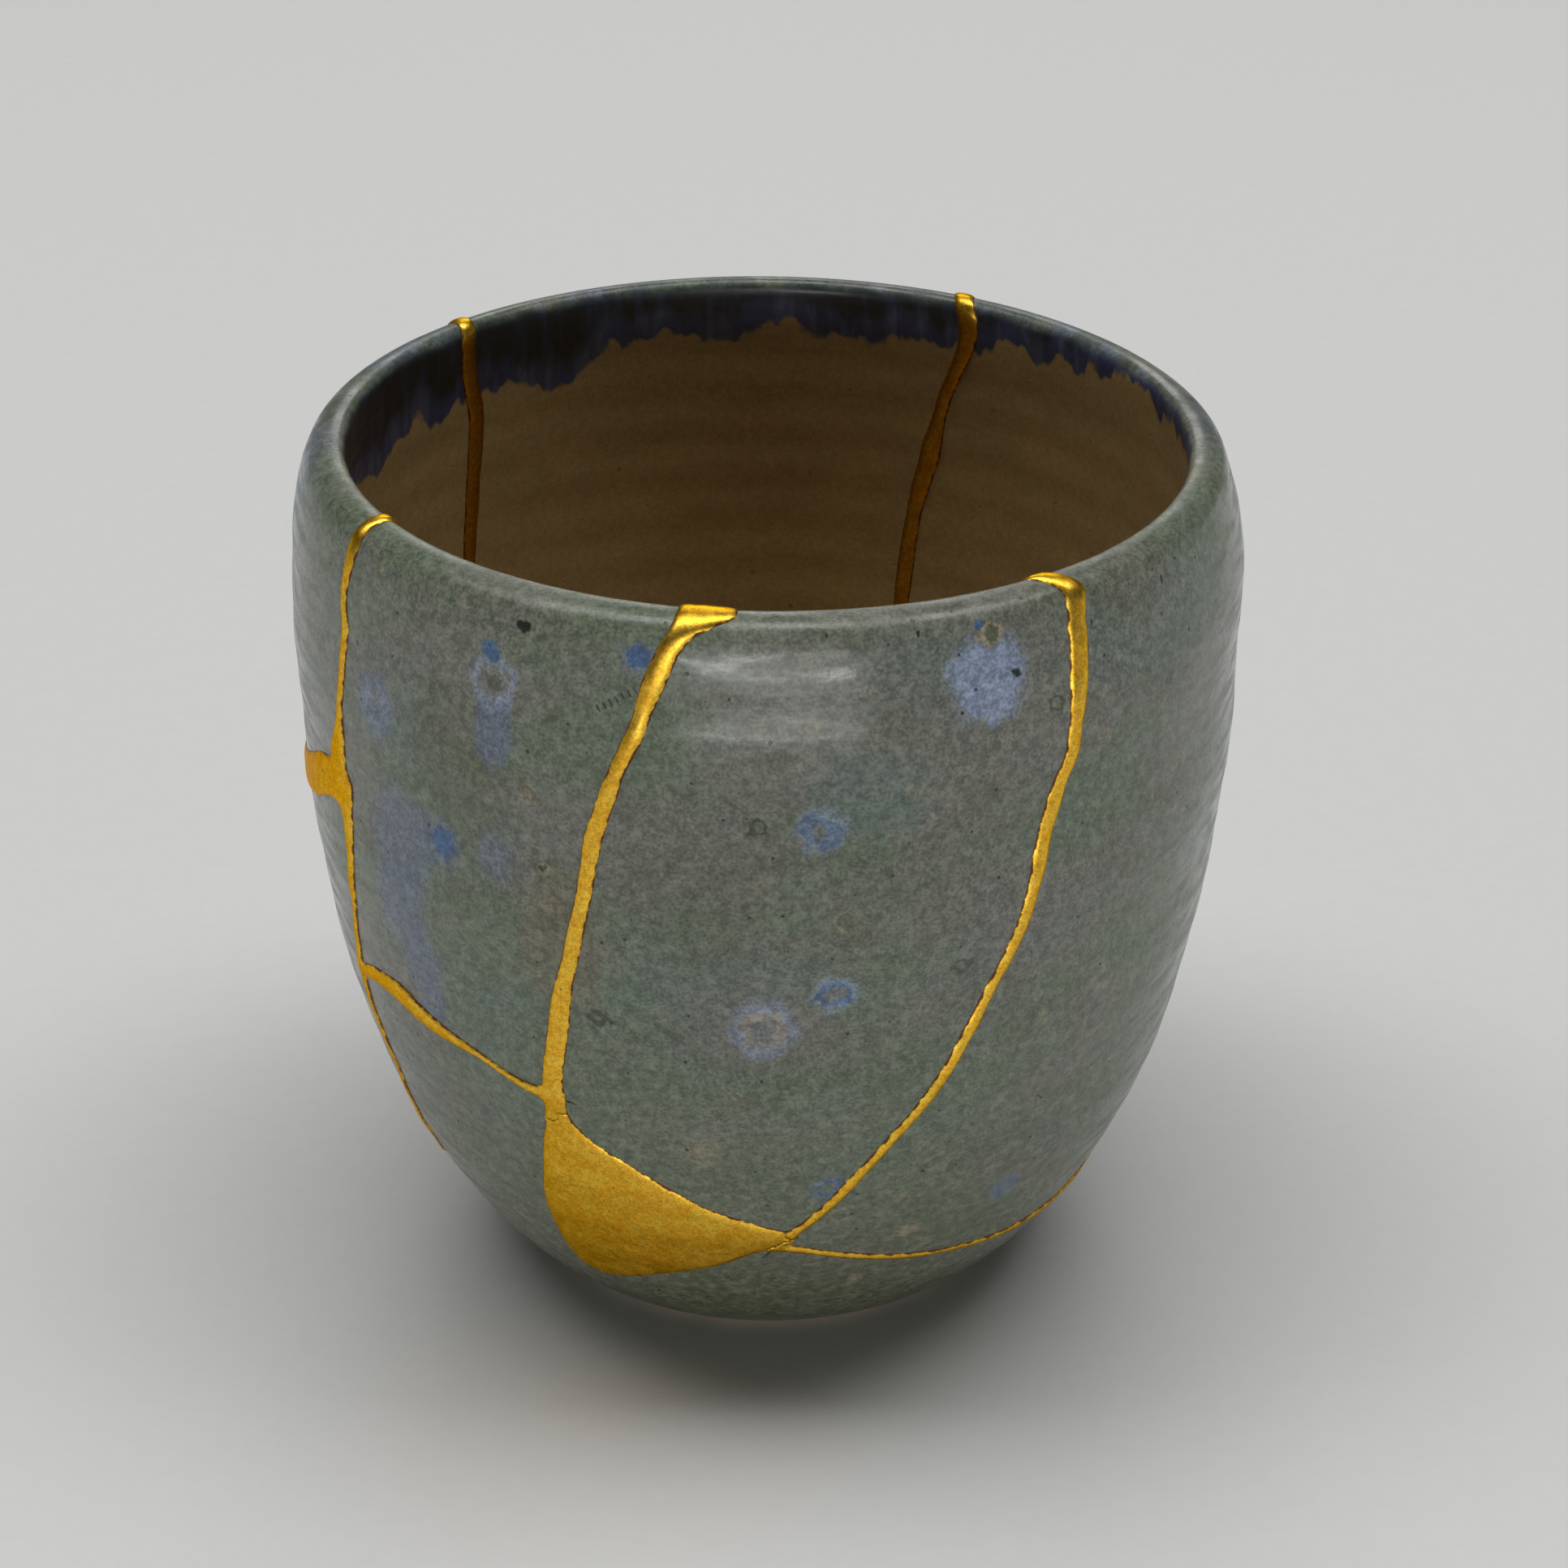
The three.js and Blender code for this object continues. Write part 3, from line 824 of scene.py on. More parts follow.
def fill_cutter(line):
    """A closed block through the wall in the shape of the lost piece."""
    count = len(line.points)
    bm = bmesh.new()
    bmesh.ops.create_circle(bm, cap_ends=True, segments=count, radius=1.0)
    bm.verts.ensure_lookup_table()
    made = bmesh.ops.extrude_face_region(bm, geom=bm.faces[:])
    lifted = {element for element in made["geom"] if isinstance(element, bmesh.types.BMVert)}
    for vert in bm.verts:
        station = round(math.atan2(vert.co.y, vert.co.x) / (2 * math.pi) * count) % count
        depth = DEEPEST if vert in lifted else -BLOCK_HIGHEST
        vert.co = (line.points[station] + line.inward[station] * depth) * MM
    bmesh.ops.triangulate(bm, faces=[face for face in bm.faces if len(face.verts) > 4])
    face_outward(bm)
    return make_object("cutter", make_mesh("cutter", bm))


def cut(piece, cutter):
    """The piece's mesh after a cutter was taken out of it."""
    modifier = piece.modifiers.new("cut", "BOOLEAN")
    modifier.solver = "MANIFOLD"
    modifier.operation = "DIFFERENCE"
    modifier.object = cutter
    depsgraph = bpy.context.evaluated_depsgraph_get()
    result = bpy.data.meshes.new_from_object(piece.evaluated_get(depsgraph))
    piece.modifiers.remove(modifier)
    if not result.polygons:
        raise RuntimeError(f"{piece.name}: a cut left nothing")
    return result


def loose_bodies(bm):
    """The separate closed bodies of a mesh, each as the set of its faces."""
    left = set(bm.faces)
    bodies = []
    while left:
        body = {left.pop()}
        edge_faces = list(body)
        while edge_faces:
            face = edge_faces.pop()
            for edge in face.edges:
                for other in edge.link_faces:
                    if other not in body:
                        body.add(other)
                        edge_faces.append(other)
        left -= body
        bodies.append(body)
    return bodies


def note_surface(mesh, form):
    """Write on each point how far it is along the outline, and how far above the band's edge."""
    points = np.empty(len(mesh.vertices) * 3)
    mesh.vertices.foreach_get("co", points)
    points = points.reshape(-1, 3) / MM
    degrees = np.degrees(np.arctan2(points[:, 1], points[:, 0])) % 360
    edge_degrees, edge_levels = np.array(BAND_EDGE).T
    edge = np.interp(degrees, edge_degrees, edge_levels, period=360)
    facts = {"along": form.along_of(points), "band": points[:, 2] - edge}
    for name, values in facts.items():
        if name in mesh.attributes:
            mesh.attributes.remove(mesh.attributes[name])
        attribute = mesh.attributes.new(name, "FLOAT", "POINT")
        attribute.data.foreach_set("value", values.astype(np.float32))


class Bench:
    """Adds nodes to one tree and joins them."""

    def __init__(self, tree):
        self.tree = tree

    def node(self, kind, **settings):
        made = self.tree.nodes.new(kind)
        for key, value in settings.items():
            setattr(made, key, value)
        return made

    def feed(self, socket, value):
        if isinstance(value, bpy.types.NodeSocket):
            self.tree.links.new(value, socket)
        elif socket.type == "RGBA" and len(value) == 3:
            socket.default_value = (*value, 1.0)
        else:
            socket.default_value = value

    def math(self, operation, first, second=0.0, clamp=False):
        made = self.node("ShaderNodeMath", operation=operation, use_clamp=clamp)
        self.feed(made.inputs[0], first)
        self.feed(made.inputs[1], second)
        return made.outputs[0]

    def times(self, first, second):
        return self.math("MULTIPLY", first, second)

    def plus(self, first, second):
        return self.math("ADD", first, second)

    def minus(self, first, second):
        return self.math("SUBTRACT", first, second)

    def vector(self, operation, first, second=None):
        made = self.node("ShaderNodeVectorMath", operation=operation)
        self.feed(made.inputs[0], first)
        if second is not None:
            self.feed(made.inputs[1], second)
        return made.outputs["Value" if operation in ("LENGTH", "DOT_PRODUCT") else "Vector"]

    def scaled(self, first, scale):
        """A vector or colour times a value."""
        made = self.node("ShaderNodeVectorMath", operation="SCALE")
        self.feed(made.inputs[0], first)
        self.feed(made.inputs["Scale"], scale)
        return made.outputs["Vector"]

    def blend(self, factor, under, over):
        made = self.node("ShaderNodeMix", data_type="RGBA")
        self.feed(made.inputs["Factor"], factor)
        self.feed(made.inputs["A"], under)
        self.feed(made.inputs["B"], over)
        return made.outputs["Result"]

    def step(self, value, low, high, start=0.0, end=1.0):
        """Go smoothly from start to end as value goes from low to high."""
        made = self.node("ShaderNodeMapRange", interpolation_type="SMOOTHSTEP")
        for socket, fed in zip(made.inputs, (value, low, high, start, end)):
            self.feed(socket, fed)
        return made.outputs["Result"]

    def noise(self, place, size, detail=2.0, roughness=0.5):
        made = self.node("ShaderNodeTexNoise")
        self.feed(made.inputs["Vector"], place)
        self.feed(made.inputs["Scale"], 1.0 / size)
        self.feed(made.inputs["Detail"], detail)
        self.feed(made.inputs["Roughness"], roughness)
        return made.outputs["Fac"]

    def place(self, stretch=(1.0, 1.0, 1.0)):
        """The surface point in millimetres, with each axis stretched."""
        coordinates = self.node("ShaderNodeTexCoord")
        mapping = self.node("ShaderNodeMapping")
        self.feed(mapping.inputs["Vector"], coordinates.outputs["Object"])
        mapping.inputs["Scale"].default_value = [part / MM for part in stretch]
        return mapping.outputs["Vector"]

    def bump(self, shader, height, depth):
        """Roughen a shader's surface by a height times a depth in millimetres."""
        made = self.node("ShaderNodeBump")
        made.inputs["Strength"].default_value = 1.0
        made.inputs["Distance"].default_value = depth * MM
        self.feed(made.inputs["Height"], height)
        self.feed(shader.inputs["Normal"], made.outputs["Normal"])

    def attribute(self, name):
        return self.node("ShaderNodeAttribute", attribute_name=name).outputs["Fac"]

    def use(self, group, **inputs):
        """Place a node group, with its inputs by name."""
        made = self.node("ShaderNodeGroup", node_tree=group)
        for name, value in inputs.items():
            self.feed(made.inputs[name.replace("_", " ")], value)
        return made.outputs


def new_group(name, inputs, outputs):
    """A shader node group with its sockets, its bench, and its inner input and output nodes."""
    group = bpy.data.node_groups.new(name, "ShaderNodeTree")
    kinds = {"value": "NodeSocketFloat", "colour": "NodeSocketColor", "vector": "NodeSocketVector"}
    for title, kind in inputs.items():
        group.interface.new_socket(title, in_out="INPUT", socket_type=kinds[kind])
    for title, kind in outputs.items():
        group.interface.new_socket(title, in_out="OUTPUT", socket_type=kinds[kind])
    bench = Bench(group)
    return group, bench, bench.node("NodeGroupInput").outputs, bench.node("NodeGroupOutput").inputs


def new_material(name):
    """A material, its bench, its shader, and the surface point in millimetres."""
    material = bpy.data.materials.new(name)
    material.use_nodes = True
    bench = Bench(material.node_tree)
    return material, bench, material.node_tree.nodes["Principled BSDF"], bench.place()


def grain_group():
    """Fine grain of a fired or powdered surface: a value about 1 to multiply by, and a height."""
    group, bench, given, out = new_group(
        "Fine Grain",
        {"Place": "vector", "Size": "value", "Depth": "value"},
        {"Shade": "value", "Height": "value"},
    )
    place = bench.scaled(given["Place"], bench.math("DIVIDE", 1.0, given["Size"]))
    fine = bench.noise(place, 1.0, 1.0)
    coarse = bench.noise(place, 2.7, 1.0)
    both = bench.plus(bench.times(fine, 0.6), bench.times(coarse, 0.4))
    spread = bench.step(both, 0.33, 0.67, -1.0, 1.0)
    bench.feed(out["Shade"], bench.plus(bench.times(spread, given["Depth"]), 1.0))
    bench.feed(out["Height"], both)
    return group


def speck_group():
    """Scattered round specks: their mask, the distance to the nearest, and a chance for each."""
    group, bench, given, out = new_group(
        "Scattered Specks",
        {"Place": "vector", "Spacing": "value", "Radius": "value"},
        {"Mask": "value", "Away": "value", "Chance": "value"},
    )
    cells = bench.node("ShaderNodeTexVoronoi")
    place = bench.scaled(given["Place"], bench.math("DIVIDE", 1.0, given["Spacing"]))
    bench.feed(cells.inputs["Vector"], place)
    cells.inputs["Scale"].default_value = 1.0
    away = bench.times(cells.outputs["Distance"], given["Spacing"])
    share = bench.math("DIVIDE", away, given["Radius"])
    parts = bench.node("ShaderNodeSeparateColor")
    bench.feed(parts.inputs[0], cells.outputs["Color"])
    bench.feed(out["Mask"], bench.step(share, 0.7, 1.0, 1.0, 0.0))
    bench.feed(out["Away"], away)
    bench.feed(out["Chance"], parts.outputs[0])
    return group


def dot_group():
    """One plain pool of glaze with a broken edge."""
    group, bench, given, out = new_group(
        "Glaze Dot",
        {
            "Under": "colour",
            "Place": "vector",
            "Centre": "vector",
            "Stretch": "vector",
            "Broken": "value",
            "Halo": "colour",
            "Strength": "value",
        },
        {"Colour": "colour", "Share": "value"},
    )
    away = bench.vector("SUBTRACT", given["Place"], given["Centre"])
    share = bench.vector("LENGTH", bench.vector("MULTIPLY", away, given["Stretch"]))
    uneven = bench.plus(share, given["Broken"])
    halo = bench.step(uneven, 0.84, 1.26, given["Strength"], 0.0)
    bench.feed(out["Colour"], bench.blend(halo, given["Under"], given["Halo"]))
    bench.feed(out["Share"], bench.plus(share, bench.minus(given["Broken"], 0.24)))
    return group


def ring_group():
    """A ring and a core within a pool, where share is the distance from its middle."""
    group, bench, given, out = new_group(
        "Glaze Ring",
        {"Under": "colour", "Share": "value", "Ring": "colour", "Core": "colour", "Strength": "value"},
        {"Colour": "colour"},
    )
    inner = bench.step(given["Share"], 0.27, 0.42)
    outer = bench.step(given["Share"], 0.52, 0.70, given["Strength"], 0.0)
    ring = bench.blend(inner, given["Core"], given["Ring"])
    bench.feed(out["Colour"], bench.blend(outer, given["Under"], ring))
    return group


# Pools in the glaze outside: degrees, level, radius and tallness of each, then its halo's colour and
# strength, and where it has a ring, the ring's colour, its core's colour and their strength
POOLS = [
    (246.3, 54.0, 5.0, 1.9, "brown", 0.4),
    (281.0, 71.0, 6.5, 0.8, "teal", 0.6),
    (262.0, 60.0, 7.0, 0.9, "olive", 0.22),
    (233.0, 70.0, 6.0, 1.5, "olive", 0.3),
    (223.3, 58.5, 5.2, 1.35, "blue", 0.75),
    (229.8, 60.8, 3.4, 1.0, "blue", 0.6),
    (222.0, 51.5, 4.6, 1.3, "blue", 0.75),
    (224.6, 46.0, 3.2, 1.7, "blue", 0.75),
    (225.5, 41.8, 2.2, 1.6, "blue", 0.7),
    (238.2, 61.4, 2.3, 1.3, "blue", 0.6),
    (220.6, 71.5, 3.6, 1.1, "blue", 0.75, "pale_blue", "blue", 0.3),
    (239.0, 74.0, 2.3, 1.9, "blue", 0.85),
    (238.8, 78.4, 2.7, 1.1, "pale_blue", 0.8, "lavender", "olive", 0.9),
    (238.3, 80.9, 1.2, 0.9, "deep_blue", 0.8, "deep_blue", "deep_blue", 0.6),
    (295.2, 80.0, 4.1, 1.15, "pale_blue", 0.95),
    (291.4, 80.9, 1.6, 1.1, "pale_blue", 0.6),
    (295.6, 83.7, 1.9, 0.9, "lavender", 0.7, "tan", "olive", 0.8),
    (294.2, 84.7, 0.9, 0.8, "deep_blue", 0.9, "deep_blue", "deep_blue", 0.8),
    (298.6, 80.1, 0.6, 1.2, "speck", 0.9, "speck", "speck", 0.9),
    (256.0, 82.8, 1.8, 1.0, "blue", 0.75, "deep_blue", "deep_blue", 0.95),
    (275.8, 67.9, 2.8, 1.0, "pale_blue", 0.55, "deep_blue", "olive", 0.6),
    (269.0, 68.3, 1.5, 0.9, "olive", 0.6, "speck", "green", 0.5),
    (277.6, 51.4, 2.4, 1.0, "pale_blue", 0.6, "deep_blue", "lavender", 0.75),
    (269.7, 47.6, 3.4, 1.1, "pale_blue", 0.7, "tan", "lavender", 0.75),
    (292.4, 52.6, 1.5, 0.9, "green", 0.3, "speck", "green", 0.45),
    (230.7, 61.0, 1.7, 1.1, "deep_blue", 0.95, "deep_blue", "deep_blue", 0.9),
    (278.0, 28.1, 2.2, 1.0, "blue", 0.45, "deep_blue", "green", 0.6),
    (304.8, 22.5, 2.3, 1.0, "blue", 0.5, "deep_blue", "blue", 0.55),
    (321.7, 74.3, 1.2, 1.0, "green", 0.2, "speck", "green", 0.45),
    (303.2, 76.4, 1.5, 1.0, "green", 0.2, "speck", "green", 0.55),
    (250.4, 47.2, 1.6, 0.7, "olive", 0.4, "speck", "green", 0.55),
    (243.2, 68.9, 1.5, 0.9, "tan", 0.55, "speck", "tan", 0.4),
    (244.9, 61.5, 1.3, 1.0, "olive", 0.7, "tan", "speck", 0.6),
    (290.1, 20.2, 1.3, 1.0, "tan", 0.7, "tan", "tan", 0.5),
    (262.1, 32.9, 2.0, 1.3, "tan", 0.45, "olive", "tan", 0.3),
    (266.1, 39.9, 1.5, 1.0, "green", 0.2, "tan", "green", 0.45),
    (242.4, 83.7, 0.8, 1.0, "speck", 0.95, "speck", "speck", 0.95),
    (185.0, 83.1, 9.0, 0.5, "blue", 0.65),
    (154.0, 86.5, 5.0, 0.9, "blue", 0.8),
]

# A row of small scratches in the glaze, from one end to the other, as (degrees, level)
SCRATCH_ENDS = ((250.9, 77.6), (256.2, 80.2))
SCRATCH_PITCH = 0.62


def pools(bench, colours, groups, form, colour, warped, broken):
    """Every pool and ring of the outer glaze, laid over its colour one by one."""
    for degrees, level, radius, tall, halo, strength, *rest in POOLS:
        made = bench.use(
            groups["dot"],
            Under=colour,
            Place=warped,
            Centre=tuple(form.place_at(degrees, level)),
            Stretch=(1 / radius, 1 / radius, 1 / (radius * tall)),
            Broken=broken,
            Halo=getattr(colours, halo),
            Strength=strength,
        )
        colour = made["Colour"]
        if rest:
            ring, core, ring_strength = rest
            colour = bench.use(
                groups["ring"],
                Under=colour,
                Share=made["Share"],
                Ring=getattr(colours, ring),
                Core=getattr(colours, core),
                Strength=ring_strength,
            )["Colour"]
    return colour


def scratch_mask(bench, place, form):
    """A mask of short upright scratches in a slanting row."""
    start, end = (Vector(form.place_at(*place)) for place in SCRATCH_ENDS)
    run = (end - start).normalized()
    across = (Vector((0.0, 0.0, 1.0)) - run * run.z).normalized()
    away = bench.vector("SUBTRACT", place, tuple(start))
    forward = bench.vector("DOT_PRODUCT", away, tuple(run))
    aside = bench.vector("DOT_PRODUCT", away, tuple(across))
    wave = bench.math("SINE", bench.times(forward, 2 * math.pi / SCRATCH_PITCH))
    mask = bench.step(wave, 0.1, 0.8)
    mask = bench.times(mask, bench.step(bench.math("ABSOLUTE", aside), 0.20, 0.45, 1.0, 0.0))
    mask = bench.times(mask, bench.step(forward, 0.0, 0.5))
    row_end = (end - start).length
    return bench.times(mask, bench.step(forward, row_end - 0.5, row_end, 1.0, 0.0))


def outer_glaze(bench, colours, place, warped, groups, form, along):
    """The mottled green and lavender glaze outside, and the mask of its pinholes."""
    specks = groups["specks"]
    marks = form.marks
    flat = bench.place((1.0, 1.0, 2.2))
    broad = bench.step(bench.noise(flat, 24.0, 3.0, 0.55), 0.40, 0.62)
    patchy = bench.step(bench.noise(flat, 7.0, 4.0, 0.62), 0.42, 0.70)
    cool = bench.step(bench.noise(bench.place((0.8, 0.8, 1.2)), 15.0, 2.0, 0.5), 0.52, 0.66)
    colour = bench.blend(broad, colours.green, colours.lavender)
    colour = bench.blend(bench.times(patchy, 0.30), colour, colours.olive)
    colour = bench.blend(bench.times(cool, 0.40), colour, colours.teal)
    # Olive over the lower wall, strongest at the foot: partly the glaze's own darker colour there, partly
    # painted shade of the wall as it turns down towards the table.
    low = bench.plus(along, bench.times(patchy, 9.0))
    low = bench.step(low, marks["glaze"] + 4, marks["glaze"] + 56, 0.85, 0.0)
    colour = bench.blend(low, colour, colours.olive)
    mottle = bench.noise(place, 1.1, 2.0, 0.6)
    flecks = bench.step(mottle, 0.48, 0.62, 0.0, 0.30)
    colour = bench.blend(flecks, colour, colours.lavender)
    broken = bench.step(mottle, 0.30, 0.70, 0.12, 0.36)
    colour = pools(bench, colours, groups, form, colour, warped, broken)

    freckles = bench.use(specks, Place=warped, Spacing=4.2, Radius=0.8)
    freckle = bench.times(freckles["Mask"], bench.step(freckles["Chance"], 0.6, 0.95))
    colour = bench.blend(bench.times(freckle, 0.35), colour, colours.tan)
    rings = bench.use(specks, Place=warped, Spacing=8.0, Radius=1.3)
    hollow = bench.step(rings["Away"], 0.6, 0.85, 1.0, 0.0)
    ring = bench.math("SUBTRACT", rings["Mask"], hollow, clamp=True)
    ring = bench.times(ring, bench.step(rings["Chance"], 0.3, 0.6))
    colour = bench.blend(bench.times(ring, 0.35), colour, colours.tan)
    colour = bench.blend(bench.times(hollow, 0.25), colour, colours.olive)
    holes = bench.use(specks, Place=place, Spacing=2.6, Radius=0.20)["Mask"]
    colour = bench.blend(bench.times(holes, 0.85), colour, colours.speck)
    dashes = bench.use(specks, Place=bench.place((1.0, 1.0, 0.30)), Spacing=1.9, Radius=0.20)["Mask"]
    under_rim = bench.times(
        bench.step(along, marks["lip_out"] - 4.0, marks["lip_out"] - 2.0),
        bench.step(along, marks["lip_out"] + 0.2, marks["lip_out"] + 1.0, 1.0, 0.0),
    )
    colour = bench.blend(bench.times(dashes, under_rim), colour, colours.speck)
    scratches = scratch_mask(bench, place, form)
    colour = bench.blend(bench.times(scratches, 0.8), colour, colours.speck)
    colour = bench.scaled(colour, bench.step(mottle, 0.3, 0.7, 0.86, 1.13))
    return colour, holes


def bowl_colour(bench, colours, place, groups):
    """The brown clay inside with the dark band that dripped into it, and the mask of the band."""
    low = bench.place((1.0, 1.0, 3.0))
    shade = bench.step(bench.noise(low, 12.0, 2.0, 0.55), 0.25, 0.75, 0.92, 1.07)
    clay = bench.scaled(tuple(colours.clay), shade)
    stain = bench.use(groups["specks"], Place=place, Spacing=5.5, Radius=0.35)["Mask"]
    clay = bench.blend(bench.times(stain, 0.35), clay, colours.speck)
    drips = bench.minus(bench.noise(bench.place((1.0, 1.0, 0.35)), 4.2, 2.0), 0.5)
    small = bench.minus(bench.noise(place, 1.1, 2.0), 0.5)
    above = bench.plus(bench.attribute("band"), bench.times(drips, 8.0))
    above = bench.plus(above, bench.times(small, 1.2))
    covered = bench.step(above, -0.3, 0.35)
    deep = bench.step(above, 1.2, 3.8)
    streaks = bench.step(bench.noise(bench.place((1.0, 1.0, 0.12)), 1.5, 3.0), 0.47, 0.66)
    band = bench.blend(bench.times(streaks, 0.40), colours.band, colours.fringe)
    fringe = bench.blend(bench.times(streaks, 0.35), colours.fringe, colours.blue)
    colour = bench.blend(covered, clay, fringe)
    return bench.blend(deep, colour, band), covered


def glazed_stoneware(form, colours, groups):
    """Satin glaze outside, a dark band inside the rim, brown clay in the bowl, and a bare foot."""
    material, bench, shader, place = new_material("Glazed Stoneware")
    along = bench.attribute("along")
    marks = form.marks
    stray = bench.node("ShaderNodeTexNoise")
    bench.feed(stray.inputs["Vector"], place)
    stray.inputs["Scale"].default_value = 0.9
    stray.inputs["Detail"].default_value = 2.0
    centred = bench.vector("SUBTRACT", stray.outputs["Color"], (0.5, 0.5, 0.5))
    warped = bench.vector("ADD", place, bench.scaled(centred, 1.4))
    outside, holes = outer_glaze(bench, colours, place, warped, groups, form, along)
    inside, covered = bowl_colour(bench, colours, place, groups)

    parts = bench.node("ShaderNodeSeparateXYZ")
    bench.feed(parts.inputs[0], place)
    behind = bench.step(parts.outputs[1], -16.0, 14.0)
    blotch = bench.noise(place, 5.5, 3.0, 0.6)
    over_lip = bench.step(along, marks["lip_out"] - 2.5, marks["crest"] - 0.3)
    back_lip = bench.times(over_lip, behind)
    dark_lip = bench.times(bench.step(blotch, 0.40, 0.56), back_lip)
    outside = bench.blend(bench.times(over_lip, 0.30), outside, colours.olive)
    outside = bench.blend(bench.times(dark_lip, 0.60), outside, colours.slate)
    pale_lip = bench.step(bench.noise(bench.place((1.0, 1.0, 0.5)), 3.1, 2.0), 0.56, 0.70)
    pale_lip = bench.times(pale_lip, back_lip)
    outside = bench.blend(bench.times(pale_lip, 0.55), outside, colours.blue)

    wander = bench.times(bench.minus(bench.noise(place, 3.5), 0.5), 1.8)
    edge = bench.plus(along, wander)
    turned_in = bench.step(edge, marks["crest"] + 0.4, marks["crest"] + 1.8)
    thin_start = bench.step(edge, marks["crest"] - 0.1, marks["crest"] + 0.4)
    thin_end = bench.step(edge, marks["crest"] + 0.6, marks["crest"] + 1.2, 1.0, 0.0)
    in_front = bench.minus(1.0, behind)
    thin = bench.times(bench.times(thin_start, thin_end), in_front)
    colour = bench.blend(turned_in, outside, inside)
    colour = bench.blend(bench.times(thin, 0.55), colour, colours.tan)
    line = bench.step(edge, marks["glaze"] + 0.1, marks["glaze"] + 0.6, 1.0, 0.0)
    colour = bench.blend(line, colour, colours.thin)
    glazed = bench.step(edge, marks["glaze"] - 0.7, marks["glaze"] - 0.2)
    colour = bench.blend(glazed, colours.foot, colour)
    depth = bench.step(turned_in, 0.0, 1.0, 0.32, 0.12)
    grain = bench.use(groups["grain"], Place=place, Size=0.30, Depth=depth)
    bench.feed(shader.inputs["Base Color"], bench.scaled(colour, grain["Shade"]))

    bowl = bench.times(turned_in, bench.minus(1.0, covered))
    satin = bench.step(bench.noise(bench.place((1.0, 1.0, 5.0)), 6.0, 2.0), 0.35, 0.65, 0.16, 0.34)
    rough = bench.plus(satin, bench.times(bowl, 0.42))
    rough = bench.plus(rough, bench.times(over_lip, 0.12))
    bare = bench.times(bench.minus(1.0, glazed), 0.45)
    bench.feed(shader.inputs["Roughness"], bench.math("ADD", rough, bare, clamp=True))

    lumps = bench.plus(bench.times(grain["Height"], 0.22), bench.noise(place, 2.6, 0.0))
    lumps = bench.minus(lumps, bench.times(holes, 1.2))
    bench.bump(shader, lumps, 0.035)
    return material


def powdered_gold(look, groups):
    """Gold powder rubbed on lacquer, worn to red-brown lacquer along its edges, and darkened to lacquer
    brown as painted shade where it runs into the bowl.
    """
    grain, specks = groups["grain"], groups["specks"]
    material, bench, shader, place = new_material("Powdered Gold")
    rubbed = bench.step(bench.noise(place, 1.6, 3.0, 0.6), 0.35, 0.75)
    powder = bench.use(grain, Place=place, Size=0.20, Depth=0.22)
    colour = bench.blend(rubbed, look.amber, look.bright)
    colour = bench.scaled(colour, powder["Shade"])
    # Painted shade: the farther the gold runs into the bowl, the more it is laid over with lacquer brown.
    bowl_painted_shade = bench.times(bench.attribute("inside"), 0.55)
    colour = bench.blend(bowl_painted_shade, colour, look.lacquer)
    edge = bench.attribute("edge")
    worn = bench.times(bench.noise(place, 0.9, 2.0), 0.5)
    bare = bench.step(bench.minus(edge, worn), -0.20, -0.08, 1.0, 0.0)
    pits = bench.use(specks, Place=place, Spacing=2.4, Radius=0.2)["Mask"]
    bare = bench.math("MAXIMUM", bare, bench.times(pits, 0.8))
    bench.feed(shader.inputs["Base Color"], bench.blend(bare, colour, look.lacquer))
    bench.feed(shader.inputs["Metallic"], bench.minus(1.0, bare))
    sheen = bench.step(bench.noise(place, 1.1, 2.0), 0.3, 0.7, 0.32, 0.42)
    bench.feed(shader.inputs["Roughness"], sheen)
    shader.inputs["Specular Tint"].default_value = (*look.rim_tint, 1.0)
    waves = bench.noise(place, 1.5, 1.0)
    height = bench.plus(bench.times(powder["Height"], 0.45), waves)
    height = bench.minus(height, bench.times(pits, 0.8))
    bench.bump(shader, height, 0.03)
    return material


DUST_GREY = (0.2, 0.2, 0.2)


def paper(colour, groups):
    """A pale paper floor with a faint tooth and a few dust specks."""
    grain, specks = groups["grain"], groups["specks"]
    material, bench, shader, place = new_material("Pale Paper")
    tooth = bench.use(grain, Place=place, Size=1.5, Depth=0.008)["Shade"]
    tone = bench.scaled(tuple(colour), tooth)
    dust = bench.use(specks, Place=place, Spacing=60.0, Radius=0.8)["Mask"]
    tone = bench.blend(bench.times(dust, 0.3), tone, DUST_GREY)
    bench.feed(shader.inputs["Base Color"], tone)
    shader.inputs["Roughness"].default_value = 0.85
    shader.inputs["Specular IOR Level"].default_value = 0.2
    return material


def shared_groups():
    """The node groups, made once."""
    makers = {
        "grain": ("Fine Grain", grain_group),
        "specks": ("Scattered Specks", speck_group),
        "dot": ("Glaze Dot", dot_group),
        "ring": ("Glaze Ring", ring_group),
    }
    made = bpy.data.node_groups
    return {name: made.get(title) or maker() for name, (title, maker) in makers.items()}


